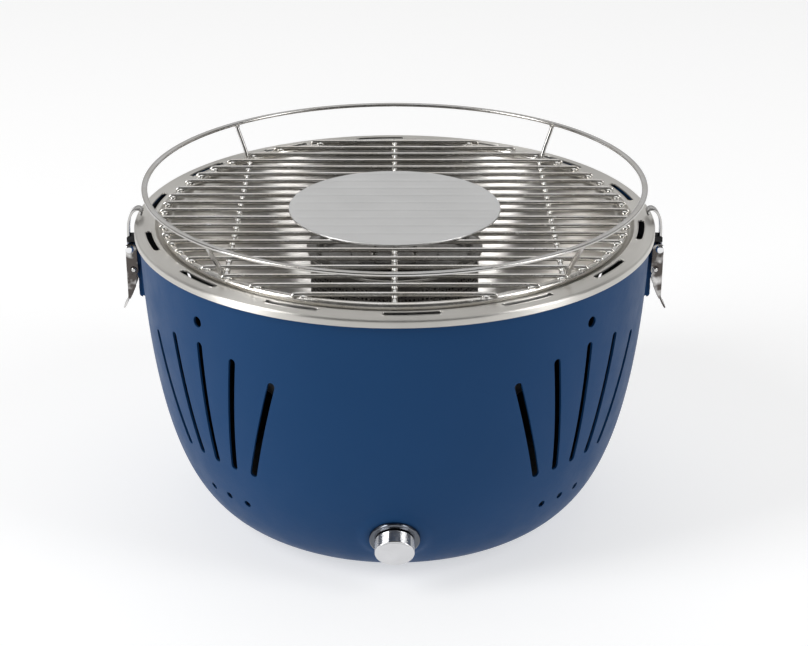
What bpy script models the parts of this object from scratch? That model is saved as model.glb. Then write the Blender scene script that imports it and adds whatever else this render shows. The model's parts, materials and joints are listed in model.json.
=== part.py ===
"""Portable tabletop charcoal grill with a fan-assisted basket.

Metres, +Z up, the front with the knob towards -Y. The ground is z = 0 under the centre.
"""

import math

import bmesh
import bpy
from mathutils import Matrix, Vector

MM = 0.001
GAP = 0.3 * MM                      # clearance between pieces that touch

# Driving sizes
RIM_Z = 204 * MM                    # top face of the steel flange
RIM_R = 175.2 * MM                  # outer edge of the flange
ROUND_STEPS = 36                    # facets round the big bowls and rings
MIDDLE_STEPS = 24                   # facets round the basket, fan and base
SMALL_STEPS = 12                    # facets round pins, shafts and posts

# Outer bowl: its radius follows a soft curve of the depth under the flange
BOWL_R = 172 * MM
BOWL_LIMIT_DEPTH = 210 * MM
BOWL_DEPTH_POWER = 1.9
BOWL_ROOT = 6.7
BOWL_FLOOR_Z = 4 * MM
BOWL_FLOOR_HOLE_R = 98 * MM
BOWL_WALL = 1.5 * MM
BOWL_RINGS = 7

# Air slots in the outer bowl
SLOT_GROUP_AZIMUTHS = (46, 134, 226, 314)       # degrees from the front, towards +X
SLOT_WIDTH = 5.2 * MM
SLOT_BOTTOM_DEPTH = 129 * MM
SLOT_BOTTOM_STEP = 5.7                          # degrees between slots at the bottom
SLOT_TOP_STEP = 9.8                             # degrees between slots at the top
SLOT_TOP_DEPTHS = {0: 40 * MM, 1: 43 * MM, 2: 52.7 * MM}
VENT_HOLE_DEPTH = 26 * MM
VENT_HOLE_R = 3.7 * MM
PIN_HOLE_DEPTH = 157.3 * MM
PIN_HOLE_R = 2.6 * MM
PIN_HOLE_STEP = 6.5

# Inner bowl
SHEET = 1 * MM
FLANGE_INNER_R = 160.8 * MM
LIP_Z = RIM_Z - 5.4 * MM
SHOULDER_Z = RIM_Z - 2.4 * MM
SHOULDER_R = 151.5 * MM
HEARTH_Z = 92 * MM                  # flat floor of the inner bowl
HEARTH_R = 90 * MM
HEARTH_WALL_R = 148 * MM
HEARTH_RINGS = 5
AIR_HOLE_R = 24 * MM
FLANGE_SLOTS = 14
FLANGE_SLOT_TURN = 3.6              # degrees from the front to the first slot
FLANGE_SLOT_SPAN = 12.6
FLANGE_SLOT_R = 166 * MM
FLANGE_SLOT_WIDTH = 4.4 * MM

# Grate
ROD_R = 1.6 * MM
ROD_COUNT = 21
ROD_PITCH = 14.53 * MM
ROD_END_R = 158 * MM
ROD_Z = RIM_Z + 3.9 * MM
CROSS_BAR_R = 1.9 * MM
CROSS_BAR_X = (-105 * MM, 0.0, 105 * MM)
BASE_RING_R = 155.5 * MM
BASE_WIRE_R = 2.5 * MM
BASE_RING_Z = SHOULDER_Z + GAP + BASE_WIRE_R
CROSS_BAR_Z = ROD_Z - 2.9 * MM
PLATE_R = 71.5 * MM
PLATE_THICKNESS = 1.2 * MM
RING_R = 166.9 * MM
RING_Z = RIM_Z + 26 * MM
RING_WIDTH = 4 * MM
RING_HEIGHT = 2.2 * MM
STRUT_R = 1.5 * MM
STRUT_AZIMUTHS = (43.9, 136.1, 223.9, 316.1)    # between two rods

# Charcoal basket
BASKET_R = 57.5 * MM
BASKET_WALL_TOP = 178 * MM
BASKET_FLOOR_Z = 99 * MM
BASKET_RIM_WIRE = 1.8 * MM
LID_WELL_Z = 176.5 * MM
LID_TOP_Z = 183 * MM

# Latches: lever pivot A and strap pivot B, as (x, z) on the right-hand side
PIVOT_A = (180 * MM, 182.2 * MM)
PIVOT_B = (178 * MM, 166.8 * MM)
CHEEK_OUT = 6.7 * MM                # half widths along Y
CHEEK_IN = 5.6 * MM
EAR_OUT = 5.3 * MM
EAR_IN = 4.1 * MM
STRAP_HALF = 3.5 * MM
PIVOT_R = 1.5 * MM
PIVOT_HOLE_R = 1.8 * MM
BRACKET_FACE_X = 174.6 * MM
RIVET_ZS = (152 * MM, 178 * MM)
RIVET_R = 1.7 * MM
RIVET_HOLE_R = 2 * MM
RIVET_SEAT = 0.8 * MM               # room under the flat tail on the round wall

# Knob
KNOB_DEPTH = 164 * MM
KNOB_R = 12.8 * MM
KNOB_FACE = 12.8 * MM               # height of the knob's face over the bowl
BEZEL_R = 16.5 * MM
SHAFT_R = 3 * MM
NECK_R = 4.6 * MM
NECK_BORE_R = 3.4 * MM
NECK_HOLE_R = 5.4 * MM
CONTROL_R = 10 * MM
CONTROL_TOP = -3.4 * MM
CONTROL_BOTTOM = -17 * MM

# Base, feet and fan
BASE_R = 110 * MM
BASE_Z = BOWL_FLOOR_Z + BOWL_WALL + GAP
BASE_THICKNESS = 3 * MM
BASE_TOP = BASE_Z + BASE_THICKNESS
FOOT_R = 9 * MM
FOOT_PLACE_R = 80 * MM
POST_PLACE_R = 40 * MM
POST_AZIMUTHS = (60, 180, 300)
FAN_R = 48 * MM
FAN_FLOOR_Z = 34 * MM
FAN_TOP_Z = 70 * MM
FAN_WALL = 2 * MM
SPOUT_R = 22 * MM
SPOUT_TOP_Z = 90.5 * MM
IMPELLER_R = 40 * MM
IMPELLER_Z = 42 * MM
BLADES = 10
MOTOR_R = 14 * MM
MOTOR_SHAFT_R = 1.6 * MM

# Battery box, at the back of the base
BOX_SIZE = (64 * MM, 55 * MM, 17.3 * MM)
BOX_CENTRE_Y = 77.5 * MM
BOX_WALL = 1.6 * MM
BOX_BOTTOM = BASE_TOP + GAP
BOX_TOP = BOX_BOTTOM + BOX_SIZE[2]
CELL_R = 7.1 * MM
CELL_LENGTH = 50.5 * MM
CELL_PITCH = 14.9 * MM
DOOR_THICKNESS = 1.6 * MM
DOOR_AXIS_Y = 108 * MM
DOOR_AXIS_Z = BOX_TOP + 1.8 * MM
DOOR_PIN_R = 1 * MM
DOOR_HOLE_R = 1.3 * MM
DOOR_EAR_X = (23 * MM, 30 * MM)
DOOR_EAR_ROOT = 0.5 * MM            # how far the ears reach into the box's back wall
DOOR_EAR_CLEARANCE = 1.7 * MM       # from the box's back to the door's back edge, which swings past the ears

PAINT = ("blue_paint", (0.028, 0.075, 0.21), 0.45, 0.0)
STEEL = ("stainless_steel", (0.62, 0.61, 0.59), 0.25, 1.0)
CHROME = ("bright_chrome", (0.75, 0.75, 0.76), 0.12, 1.0)
BLACK = ("black_plastic", (0.02, 0.02, 0.02), 0.5, 0.0)
RUBBER = ("black_rubber", (0.015, 0.015, 0.015), 0.85, 0.0)
CELL = ("cell_wrap", (0.18, 0.2, 0.22), 0.4, 0.0)


# ---------------------------------------------------------------- helpers

def clear_scene():
    for obj in list(bpy.data.objects):
        bpy.data.objects.remove(obj, do_unlink=True)


def new_collection(name):
    collection = bpy.data.collections.new(name)
    bpy.context.scene.collection.children.link(collection)
    return collection


def material(name, finish):
    _, colour, roughness, metallic = finish
    mat = bpy.data.materials.new(f"{name}_{finish[0]}")
    mat.use_nodes = True
    shader = mat.node_tree.nodes["Principled BSDF"]
    shader.inputs["Base Color"].default_value = (*colour, 1.0)
    shader.inputs["Roughness"].default_value = roughness
    shader.inputs["Metallic"].default_value = metallic
    return mat


def add_part(name, data, finish):
    obj = bpy.data.objects.new(name, data)
    data.materials.append(material(name, finish))
    PARTS.objects.link(obj)
    return obj


def add_cutter(name, data):
    obj = bpy.data.objects.new(name, data)
    CUTTERS.objects.link(obj)
    obj.hide_render = True
    obj.display_type = "WIRE"
    return obj


def mesh_of(bm, name):
    mesh = bpy.data.meshes.new(name)
    bm.to_mesh(mesh)
    bm.free()
    return mesh


def cube_mesh(name, low, high):
    bm = bmesh.new()
    size = [high[i] - low[i] for i in range(3)]
    middle = [(high[i] + low[i]) / 2 for i in range(3)]
    place = Matrix.Translation(middle) @ Matrix.Diagonal((*size, 1.0))
    bmesh.ops.create_cube(bm, size=1.0, matrix=place)
    return mesh_of(bm, name)


def rods_mesh(name, rods, steps=SMALL_STEPS):
    """Capped cylinders, each given as (start, end, radius)."""
    bm = bmesh.new()
    for start, end, radius in rods:
        along = Vector(end) - Vector(start)
        turn = along.to_track_quat("Z", "Y").to_matrix().to_4x4()
        place = Matrix.Translation((Vector(start) + Vector(end)) / 2) @ turn
        bmesh.ops.create_cone(bm, cap_ends=True, segments=steps, radius1=radius,
                              radius2=radius, depth=along.length, matrix=place)
    mesh = mesh_of(bm, name)
    mesh.shade_smooth()
    mesh.set_sharp_from_angle(angle=math.radians(40))
    return mesh


def profile_mesh(name, points, closed):
    """A chain of edges in the XZ plane, ready for a Screw modifier."""
    bm = bmesh.new()
    verts = [bm.verts.new((x, 0.0, z)) for x, z in points]
    for first, second in zip(verts, verts[1:]):
        bm.edges.new((first, second))
    if closed:
        bm.edges.new((verts[-1], verts[0]))
    return mesh_of(bm, name)


def add_screw(obj, steps):
    screw = obj.modifiers.new("turn", "SCREW")
    screw.axis = "Z"
    screw.angle = math.tau
    screw.steps = steps
    screw.render_steps = steps
    screw.use_merge_vertices = True
    screw.merge_threshold = 0.00001
    screw.use_smooth_shade = True


def turned(name, points, finish, steps=SMALL_STEPS, closed=True):
    """A turned solid. The profile runs down its outer side, top to bottom."""
    obj = add_part(name, profile_mesh(name, points, closed), finish)
    add_screw(obj, steps)
    return obj


def turned_sheet(name, points, thickness, offset, finish, steps=ROUND_STEPS):
    """A turned sheet-metal shell of even thickness."""
    obj = turned(name, points, finish, steps, closed=False)
    solid = obj.modifiers.new("sheet", "SOLIDIFY")
    solid.thickness = thickness
    solid.offset = offset
    solid.use_even_offset = True
    return obj


def flat_outline(name, outlines, half_thickness):
    """A 2D curve filled on both sides; later outlines inside the first are holes."""
    curve = bpy.data.curves.new(name, "CURVE")
    curve.dimensions = "2D"
    curve.fill_mode = "BOTH"
    curve.extrude = half_thickness
    for points in outlines:
        spline = curve.splines.new("POLY")
        spline.points.add(len(points) - 1)
        spline.use_cyclic_u = True
        for point, (x, y) in zip(spline.points, points):
            point.co = (x, y, 0.0, 1.0)
    return curve


def to_mesh(obj):
    """Swap a curve object for a welded mesh object with the same name and place."""
    name = obj.name
    bpy.context.view_layer.update()
    graph = bpy.context.evaluated_depsgraph_get()
    mesh = bpy.data.meshes.new_from_object(obj.evaluated_get(graph))
    bm = bmesh.new()
    bm.from_mesh(mesh)
    bmesh.ops.remove_doubles(bm, verts=bm.verts, dist=0.000001)
    bm.to_mesh(mesh)
    bm.free()
    place = obj.matrix_world.copy()
    home = obj.users_collection[0]
    hidden = obj.hide_render
    shown_as = obj.display_type
    bpy.data.objects.remove(obj, do_unlink=True)
    swapped = bpy.data.objects.new(name, mesh)
    swapped.matrix_world = place
    swapped.hide_render = hidden
    swapped.display_type = shown_as
    home.objects.link(swapped)
    return swapped


def side_plate(name, outlines, pivot, half_width, side, finish):
    """An outline in the XZ plane around a pivot, extruded along Y; side -1 mirrors it."""
    mirrored = [[(side * x, z) for x, z in points] for points in outlines]
    obj = add_part(name, flat_outline(name, mirrored, half_width), finish)
    stand_on_pivot(obj, pivot, side)
    return to_mesh(obj)


def stand_on_pivot(obj, pivot, side):
    obj.location = (side * pivot[0], 0.0, pivot[1])
    obj.rotation_euler = (math.radians(90), 0.0, 0.0)


def side_cutter(name, outline, pivot, half_width, side):
    mirrored = [(side * x, z) for x, z in outline]
    obj = add_cutter(name, flat_outline(name, [mirrored], half_width))
    stand_on_pivot(obj, pivot, side)
    return to_mesh(obj)


def boolean(obj, tool, operation="DIFFERENCE"):
    step = obj.modifiers.new(tool.name, "BOOLEAN")
    step.operation = operation
    step.solver = "EXACT"
    step.object = tool


def wire(name, points, radius, finish, bevel_resolution=2):
    """A round wire through the points, with filled ends."""
    curve = bpy.data.curves.new(name, "CURVE")
    curve.dimensions = "3D"
    curve.bevel_depth = radius
    curve.bevel_resolution = bevel_resolution
    curve.use_fill_caps = True
    spline = curve.splines.new("POLY")
    spline.points.add(len(points) - 1)
    for point, place in zip(spline.points, points):
        point.co = (*place, 1.0)
    return add_part(name, curve, finish)


def arc(centre, radius, start, end, steps):
    """Points along an arc, angles in degrees, ends included."""
    angles = [math.radians(start + (end - start) * i / steps) for i in range(steps + 1)]
    return [(centre[0] + radius * math.cos(a), centre[1] + radius * math.sin(a)) for a in angles]


def polar(radius, azimuth, z):
    """A point at an azimuth in degrees from the front (-Y), towards +X."""
    a = math.radians(azimuth)
    return Vector((radius * math.sin(a), -radius * math.cos(a), z))


def smooth_route(points, pieces=2):
    """Catmull-Rom points through a hand-laid route."""
    knots = [Vector(p) for p in points]
    knots = [2 * knots[0] - knots[1], *knots, 2 * knots[-1] - knots[-2]]
    route = []
    for a, b, c, d in zip(knots, knots[1:], knots[2:], knots[3:]):
        for i in range(pieces):
            t = i / pieces
            route.append(0.5 * (2 * b + (c - a) * t + (2 * a - 5 * b + 4 * c - d) * t * t
                                + (3 * b - a - 3 * c + d) * t * t * t))
    route.append(knots[-2])
    return route


# ---------------------------------------------------------------- outer bowl

def bowl_radius(depth):
    """Outside radius of the outer bowl at a depth under the flange."""
    fullness = 1 - (depth / BOWL_LIMIT_DEPTH) ** BOWL_DEPTH_POWER
    return BOWL_R * fullness ** (1 / BOWL_ROOT)


def bowl_outline(grow=0.0):
    """Outer side of the bowl from the top edge to the floor, as (radius, z)."""
    top = SHEET + GAP
    bottom = RIM_Z - BOWL_FLOOR_Z
    points = []
    for i in range(BOWL_RINGS + 1):
        depth = top + (bottom - top) * math.sin(math.radians(90 * i / BOWL_RINGS))
        points.append((bowl_radius(depth) + grow, RIM_Z - depth))
    return points


def outer_bowl():
    points = bowl_outline() + [(BOWL_FLOOR_HOLE_R, BOWL_FLOOR_Z)]
    bowl = turned_sheet("outer_bowl", points, BOWL_WALL, -1, PAINT)
    boolean(bowl, slots_cutter())
    boolean(bowl, holes_cutter())
    return bowl


def slots_cutter():
    """All the long air slots, as round-ended bars that point out of the bowl."""
    bm = bmesh.new()
    reach = 14 * MM
    half = SLOT_WIDTH / 2
    for group in SLOT_GROUP_AZIMUTHS:
        for index in range(-2, 3):
            low = surface_point(group + index * SLOT_BOTTOM_STEP, SLOT_BOTTOM_DEPTH)
            high = surface_point(group + index * SLOT_TOP_STEP, SLOT_TOP_DEPTHS[abs(index)])
            out = Vector((low.x + high.x, low.y + high.y, 0.0)).normalized()
            up = (high - low).normalized()
            side = out.cross(up).normalized()
            out = up.cross(side)
            span = (high - low).length / 2 - half
            outline = arc((0.0, span), half, 0, 180, 2) + arc((0.0, -span), half, 180, 360, 2)
            middle = (low + high) / 2
            ring = [bm.verts.new(middle + side * x + up * y - out * reach) for x, y in outline]
            face = bm.faces.new(ring)
            grown = bmesh.ops.extrude_face_region(bm, geom=[face])
            moved = [v for v in grown["geom"] if isinstance(v, bmesh.types.BMVert)]
            bmesh.ops.translate(bm, verts=moved, vec=out * reach * 2)
    bmesh.ops.recalc_face_normals(bm, faces=bm.faces)
    return add_cutter("air_slots", mesh_of(bm, "air_slots"))


def surface_point(azimuth, depth):
    return polar(bowl_radius(depth), azimuth, RIM_Z - depth)


def holes_cutter():
    """The round holes of the outer bowl: vents, pin holes, rivets and the knob's neck."""
    rods = []
    for group in SLOT_GROUP_AZIMUTHS:
        rods.append(radial_rod(group, VENT_HOLE_DEPTH, VENT_HOLE_R))
        for index in (-1, 0, 1):
            azimuth = group + index * PIN_HOLE_STEP
            rods.append(radial_rod(azimuth, PIN_HOLE_DEPTH, PIN_HOLE_R))
    for side in (-1, 1):
        for z in RIVET_ZS:
            start = (side * (BOWL_R - 8 * MM), 0.0, z)
            rods.append((start, (side * (BOWL_R + 8 * MM), 0.0, z), RIVET_HOLE_R))
    place = knob_matrix()
    rods.append((place @ Vector((0, 0, -9 * MM)), place @ Vector((0, 0, 9 * MM)), NECK_HOLE_R))
    return add_cutter("bowl_holes", rods_mesh("bowl_holes", rods, steps=8))


def radial_rod(azimuth, depth, radius):
    middle = surface_point(azimuth, depth)
    out = polar(8 * MM, azimuth, 0.0)
    return (middle - out, middle + out, radius)


# ---------------------------------------------------------------- inner bowl

def inner_bowl():
    """Flange with a rolled edge, a shoulder for the grate, a round wall and a flat hearth."""
    points = [(RIM_R, LIP_Z)]
    points += arc((RIM_R - 1.8 * MM, RIM_Z - 1.8 * MM), 1.8 * MM, 0, 90, 2)
    points.append((FLANGE_INNER_R, RIM_Z))
    points.append((FLANGE_INNER_R - 1.6 * MM, SHOULDER_Z))
    points.append((SHOULDER_R, SHOULDER_Z))
    wall_z = SHOULDER_Z - 3 * MM
    for i in range(HEARTH_RINGS + 1):
        a = math.radians(90 * i / HEARTH_RINGS)
        drop = math.sin(a)
        spread = 0.4 * math.cos(a) + 0.6 * (1 - drop)
        points.append((HEARTH_R + (HEARTH_WALL_R - HEARTH_R) * spread, wall_z - (wall_z - HEARTH_Z) * drop))
    points.append((AIR_HOLE_R, HEARTH_Z))
    bowl = turned_sheet("inner_bowl", points, SHEET, 1, STEEL)
    boolean(bowl, flange_slots_cutter())
    return bowl


def flange_slots_cutter():
    outlines = []
    half = FLANGE_SLOT_WIDTH / 2
    for index in range(FLANGE_SLOTS):
        middle = FLANGE_SLOT_TURN + 360 * index / FLANGE_SLOTS - 90
        start = middle - FLANGE_SLOT_SPAN / 2
        end = middle + FLANGE_SLOT_SPAN / 2
        outer = arc((0, 0), FLANGE_SLOT_R + half, start, end, 2)
        inner = arc((0, 0), FLANGE_SLOT_R - half, end, start, 2)
        outlines.append(outer + inner)
    obj = add_cutter("flange_slots", flat_outline("flange_slots", outlines, 4 * MM))
    obj.location = (0.0, 0.0, RIM_Z)
    return to_mesh(obj)


# ---------------------------------------------------------------- grate

def grate_grid():
    """Rods on three cross bars and a base ring, joined as one welded piece."""
    rods = []
    for index in range(ROD_COUNT):
        y = (index - (ROD_COUNT - 1) / 2) * ROD_PITCH
        half = math.sqrt(ROD_END_R ** 2 - y ** 2)
        rods.append(((-half, y, ROD_Z), (half, y, ROD_Z), ROD_R))
    grid = add_part("grate_grid", rods_mesh("grate_grid", rods, steps=6), STEEL)
    bars = []
    for x in CROSS_BAR_X:
        half = math.sqrt(BASE_RING_R ** 2 - x ** 2)
        bars.append(((x, -half, CROSS_BAR_Z), (x, half, CROSS_BAR_Z), CROSS_BAR_R))
    boolean(grid, add_cutter("cross_bars", rods_mesh("cross_bars", bars, steps=6)), "UNION")
    section = wire_section(BASE_RING_R, BASE_RING_Z, BASE_WIRE_R)
    ring = add_cutter("base_ring", profile_mesh("base_ring", section, True))
    add_screw(ring, ROUND_STEPS)
    boolean(grid, ring, "UNION")
    return grid


def wire_section(ring_r, z, wire_r):
    """Six-sided wire section, listed clockwise so that the turned ring faces out."""
    return arc((ring_r, z), wire_r, 90, -210, 5)


def grate_plate():
    low = ROD_Z + ROD_R + GAP
    high = low + PLATE_THICKNESS
    points = [(0, high), (PLATE_R - 0.4 * MM, high), (PLATE_R, low + 0.4 * MM), (PLATE_R, low), (0, low)]
    return turned("grate_plate", points, STEEL, MIDDLE_STEPS, closed=False)


def raised_ring():
    half_width = RING_WIDTH / 2
    half_height = RING_HEIGHT / 2
    points = [(RING_R + half_width, RING_Z + half_height), (RING_R + half_width, RING_Z - half_height),
              (RING_R - half_width, RING_Z - half_height), (RING_R - half_width, RING_Z + half_height)]
    return turned("raised_ring", points, STEEL, ROUND_STEPS)


def struts():
    """Four leaning wires from the base ring to the raised ring."""
    lift = 0.65 * MM                # the tilted end faces reach this far past their middle
    low_z = BASE_RING_Z + BASE_WIRE_R + GAP + lift
    high_z = RING_Z - RING_HEIGHT / 2 - GAP - lift
    for number, azimuth in enumerate(STRUT_AZIMUTHS, start=1):
        foot = polar(BASE_RING_R, azimuth, low_z)
        head = polar(RING_R - 0.8 * MM, azimuth, high_z)
        wire(f"strut_{number}", [foot, head], STRUT_R, STEEL)


# ---------------------------------------------------------------- basket

def basket():
    """Charcoal basket: wall, rolled rim, floor plate, recessed lid with a wire handle."""
    wall_bottom = HEARTH_Z + GAP
    inner_r = BASKET_R - SHEET
    turned("basket_wall", [(BASKET_R, BASKET_WALL_TOP), (BASKET_R, wall_bottom),
                           (inner_r, wall_bottom), (inner_r, BASKET_WALL_TOP)], STEEL, MIDDLE_STEPS)
    rim_z = BASKET_WALL_TOP + GAP + BASKET_RIM_WIRE
    turned("basket_rim", wire_section(BASKET_R, rim_z, BASKET_RIM_WIRE), STEEL, MIDDLE_STEPS)
    basket_floor(inner_r - GAP)
    lid = [(BASKET_R + 2.5 * MM, LID_TOP_Z), (53 * MM, LID_TOP_Z), (52 * MM, LID_TOP_Z - 1 * MM),
           (50 * MM, LID_WELL_Z), (0.0, LID_WELL_Z)]
    turned_sheet("basket_lid", lid, 0.8 * MM, 1, STEEL, MIDDLE_STEPS)
    handle_foot_z = LID_WELL_Z + GAP
    handle_top_z = 184.8 * MM
    grip = [(-14 * MM, handle_foot_z), (-14 * MM, 181 * MM), (-11 * MM, handle_top_z),
            (11 * MM, handle_top_z), (14 * MM, 181 * MM), (14 * MM, handle_foot_z)]
    wire("lid_handle", [(x, 0.0, z) for x, z in grip], 1.2 * MM, STEEL)


def basket_floor(radius):
    low = BASKET_FLOOR_Z
    high = low + SHEET
    floor = turned("basket_floor", [(radius, high), (radius, low), (8 * MM, low), (8 * MM, high)],
                   STEEL, MIDDLE_STEPS)
    holes = []
    for index in range(8):
        place = polar(34 * MM, index * 45, low - 2 * MM)
        holes.append((place, place + Vector((0, 0, 6 * MM)), 5 * MM))
    boolean(floor, add_cutter("floor_holes", rods_mesh("floor_holes", holes, steps=6)))


def fuel_dish():
    """Ring-shaped starter dish that lies on the hearth under the basket floor."""
    floor_z = HEARTH_Z + GAP + 0.8 * MM
    points = [(47 * MM, 97.5 * MM), (45.5 * MM, floor_z), (31 * MM, floor_z), (29.5 * MM, 97.5 * MM)]
    turned_sheet("fuel_dish", points, 0.8 * MM, 1, STEEL, MIDDLE_STEPS)


# ---------------------------------------------------------------- latches

def relative(point, pivot):
    return (point[0] - pivot[0], point[1] - pivot[1])


def latch_bracket(side):
    """Base plate against the bowl, with two ears that carry the lever's pivot."""
    tag = "right" if side > 0 else "left"
    face = BRACKET_FACE_X - PIVOT_A[0]
    back = face - 8 * MM
    outline = [(back, 3 * MM), (face, 3 * MM)]
    outline += arc((0, 0), 3.2 * MM, 100, -100, 6)
    outline += [(face, -8 * MM), (face, -33.7 * MM)]
    outline += arc((face - 2 * MM, -33.7 * MM), 2 * MM, -30, -90, 2)
    outline.append((back, -35.7 * MM))
    hole = arc((0, 0), PIVOT_HOLE_R, 0, 315, 7)
    bracket = side_plate(f"latch_bracket_{tag}", [outline, hole], PIVOT_A, EAR_OUT, side, PAINT)
    slot = [(face, 12 * MM), (8 * MM, 12 * MM), (8 * MM, -40 * MM), (face, -40 * MM)]
    boolean(bracket, side_cutter(f"ear_slot_{tag}", slot, PIVOT_A, EAR_IN, side))
    boolean(bracket, bowl_clearance(tag))
    rods = [((side * 160 * MM, 0.0, z), (side * 190 * MM, 0.0, z), RIVET_HOLE_R) for z in RIVET_ZS]
    boolean(bracket, add_cutter(f"rivet_holes_{tag}", rods_mesh(f"rivet_holes_{tag}", rods, 10)))


def bowl_clearance(tag):
    """The bowl's outer form, grown by the gap: it shapes the back of the bracket."""
    points = bowl_outline(grow=GAP)[:-2]
    points = [(0.0, points[0][1]), *points, (0.0, points[-1][1])]
    obj = add_cutter(f"bowl_form_{tag}", profile_mesh(f"bowl_form_{tag}", points, False))
    add_screw(obj, ROUND_STEPS)
    return obj


def bracket_rivets(side):
    """Two rivets along X, each with a head outside and a tail inside the bowl."""
    tag = "right" if side > 0 else "left"
    for level, z in zip(("low", "high"), RIVET_ZS):
        tail = bowl_radius(RIM_Z - z) - BOWL_WALL - RIVET_SEAT
        head = BRACKET_FACE_X + GAP
        points = [(0.0, head + 1.1 * MM), (3.2 * MM, head + 0.5 * MM), (3.2 * MM, head), (RIVET_R, head),
                  (RIVET_R, tail), (3 * MM, tail), (3 * MM, tail - 1 * MM), (0.0, tail - 1 * MM)]
        rivet = turned(f"rivet_{tag}_{level}", points, STEEL, closed=False)
        rivet.location = (0.0, 0.0, z)
        rivet.rotation_euler = (0.0, math.radians(90 * side), 0.0)


def latch_pins(side):
    """Stub pins through the ears and the lever's cheeks, heads outside."""
    tag = "right" if side > 0 else "left"
    inner = EAR_IN + 0.1 * MM
    head = CHEEK_OUT + GAP
    points = [(0.0, head + 0.8 * MM), (2.9 * MM, head + 0.4 * MM), (2.9 * MM, head),
              (PIVOT_R, head), (PIVOT_R, inner), (0.0, inner)]
    for place, turn in (("front", 90), ("back", -90)):
        pin = turned(f"latch_pin_{tag}_{place}", points, CHROME, closed=False)
        pin.location = (side * PIVOT_A[0], 0.0, PIVOT_A[1])
        pin.rotation_euler = (math.radians(turn), 0.0, 0.0)


def latch_lever(side):
    """Channel lever: two cheeks, a face plate under the strap pivot and a flared tail."""
    tag = "right" if side > 0 else "left"
    b = relative(PIVOT_B, PIVOT_A)
    outline = [(-5 * MM, 0.6 * MM), (-4.2 * MM, 2.6 * MM), (-2.4 * MM, 3.5 * MM), (0.6 * MM, 3.5 * MM),
               (2.2 * MM, 2.5 * MM), (2.7 * MM, 0.8 * MM), (2.7 * MM, -36.2 * MM), (6.5 * MM, -43.3 * MM),
               (5.5 * MM, -43.8 * MM), (1.3 * MM, -37.2 * MM), (-3.4 * MM, -27 * MM)]
    outline += arc(b, 3.4 * MM, 235, 165, 3)
    holes = [arc(centre, PIVOT_HOLE_R, 0, 315, 7) for centre in ((0, 0), b)]
    lever = side_plate(f"latch_lever_{tag}", [outline, *holes], PIVOT_A, CHEEK_OUT, side, CHROME)
    top = 8 * MM
    face_top = b[1] - 6.5 * MM
    face_back = 1.4 * MM
    channel = [(-12 * MM, top), (8 * MM, top), (8 * MM, face_top), (face_back, face_top),
               (face_back, -36.4 * MM), (-12 * MM, -36.4 * MM)]
    boolean(lever, side_cutter(f"lever_channel_{tag}", channel, PIVOT_A, CHEEK_IN, side))


def strap_pin(side):
    tag = "right" if side > 0 else "left"
    half = CHEEK_OUT + 0.6 * MM
    mesh = rods_mesh(f"strap_pin_{tag}", [((0, -half, 0), (0, half, 0), PIVOT_R)], 12)
    pin = add_part(f"strap_pin_{tag}", mesh, CHROME)
    pin.location = (side * PIVOT_B[0], 0.0, PIVOT_B[1])


def offset_chain(points, distance):
    """A chain of points moved sideways by a distance, to the left of its direction."""
    moved = []
    for index, point in enumerate(points):
        before = Vector(points[max(index - 1, 0)])
        after = Vector(points[min(index + 1, len(points) - 1)])
        along = (after - before).normalized()
        moved.append((point[0] - along.y * distance, point[1] + along.x * distance))
    return moved


def latch_strap(side):
    """Bent flat strap from the strap pivot up and over the flange's edge."""
    tag = "right" if side > 0 else "left"
    bends = [(171.7, 205.4), (170.9, 207.2), (171.8, 208.9), (174.0, 209.4), (176.8, 207.7),
             (179.2, 203.4), (180.4, 197), (180.6, 188), (180.3, 178), (179.6, 169.8)]
    chain = [relative((x * MM, z * MM), PIVOT_B) for x, z in bends]
    half = 0.85 * MM
    inner = offset_chain(chain, -half)
    outer = offset_chain(chain, half)
    outline = inner[:-1] + arc((0, 0), 2.9 * MM, 100, 390, 9) + outer[::-1][1:]
    bore = arc((0, 0), 1.9 * MM, 0, 315, 7)
    side_plate(f"latch_strap_{tag}", [outline, bore], PIVOT_B, STRAP_HALF, side, CHROME)


def strap_buffer(side):
    """Black block round the inner face and the edges of the strap."""
    tag = "right" if side > 0 else "left"
    inner_x = 175.9 * MM
    back_x = 179.35 * MM
    outer_x = 181.7 * MM
    outer_y = 4.8 * MM
    slot_y = STRAP_HALF + GAP
    outline = [(inner_x, -outer_y), (outer_x, -outer_y), (outer_x, -slot_y), (back_x, -slot_y),
               (back_x, slot_y), (outer_x, slot_y), (outer_x, outer_y), (inner_x, outer_y)]
    height = 3.6 * MM
    curve = flat_outline(f"strap_buffer_{tag}", [[(side * x, y) for x, y in outline]], height / 2)
    block = add_part(f"strap_buffer_{tag}", curve, RUBBER)
    block.location = (0.0, 0.0, 188.2 * MM)


# ---------------------------------------------------------------- knob

def knob_matrix():
    """Knob frame: local +Z points straight out of the bowl at the front."""
    step = 1 * MM
    slope = (bowl_radius(KNOB_DEPTH - step) - bowl_radius(KNOB_DEPTH + step)) / (2 * step)
    out = Vector((0.0, -1.0, -slope)).normalized()
    turn = out.to_track_quat("Z", "X").to_matrix().to_4x4()
    return Matrix.Translation(surface_point(0, KNOB_DEPTH)) @ turn


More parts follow.
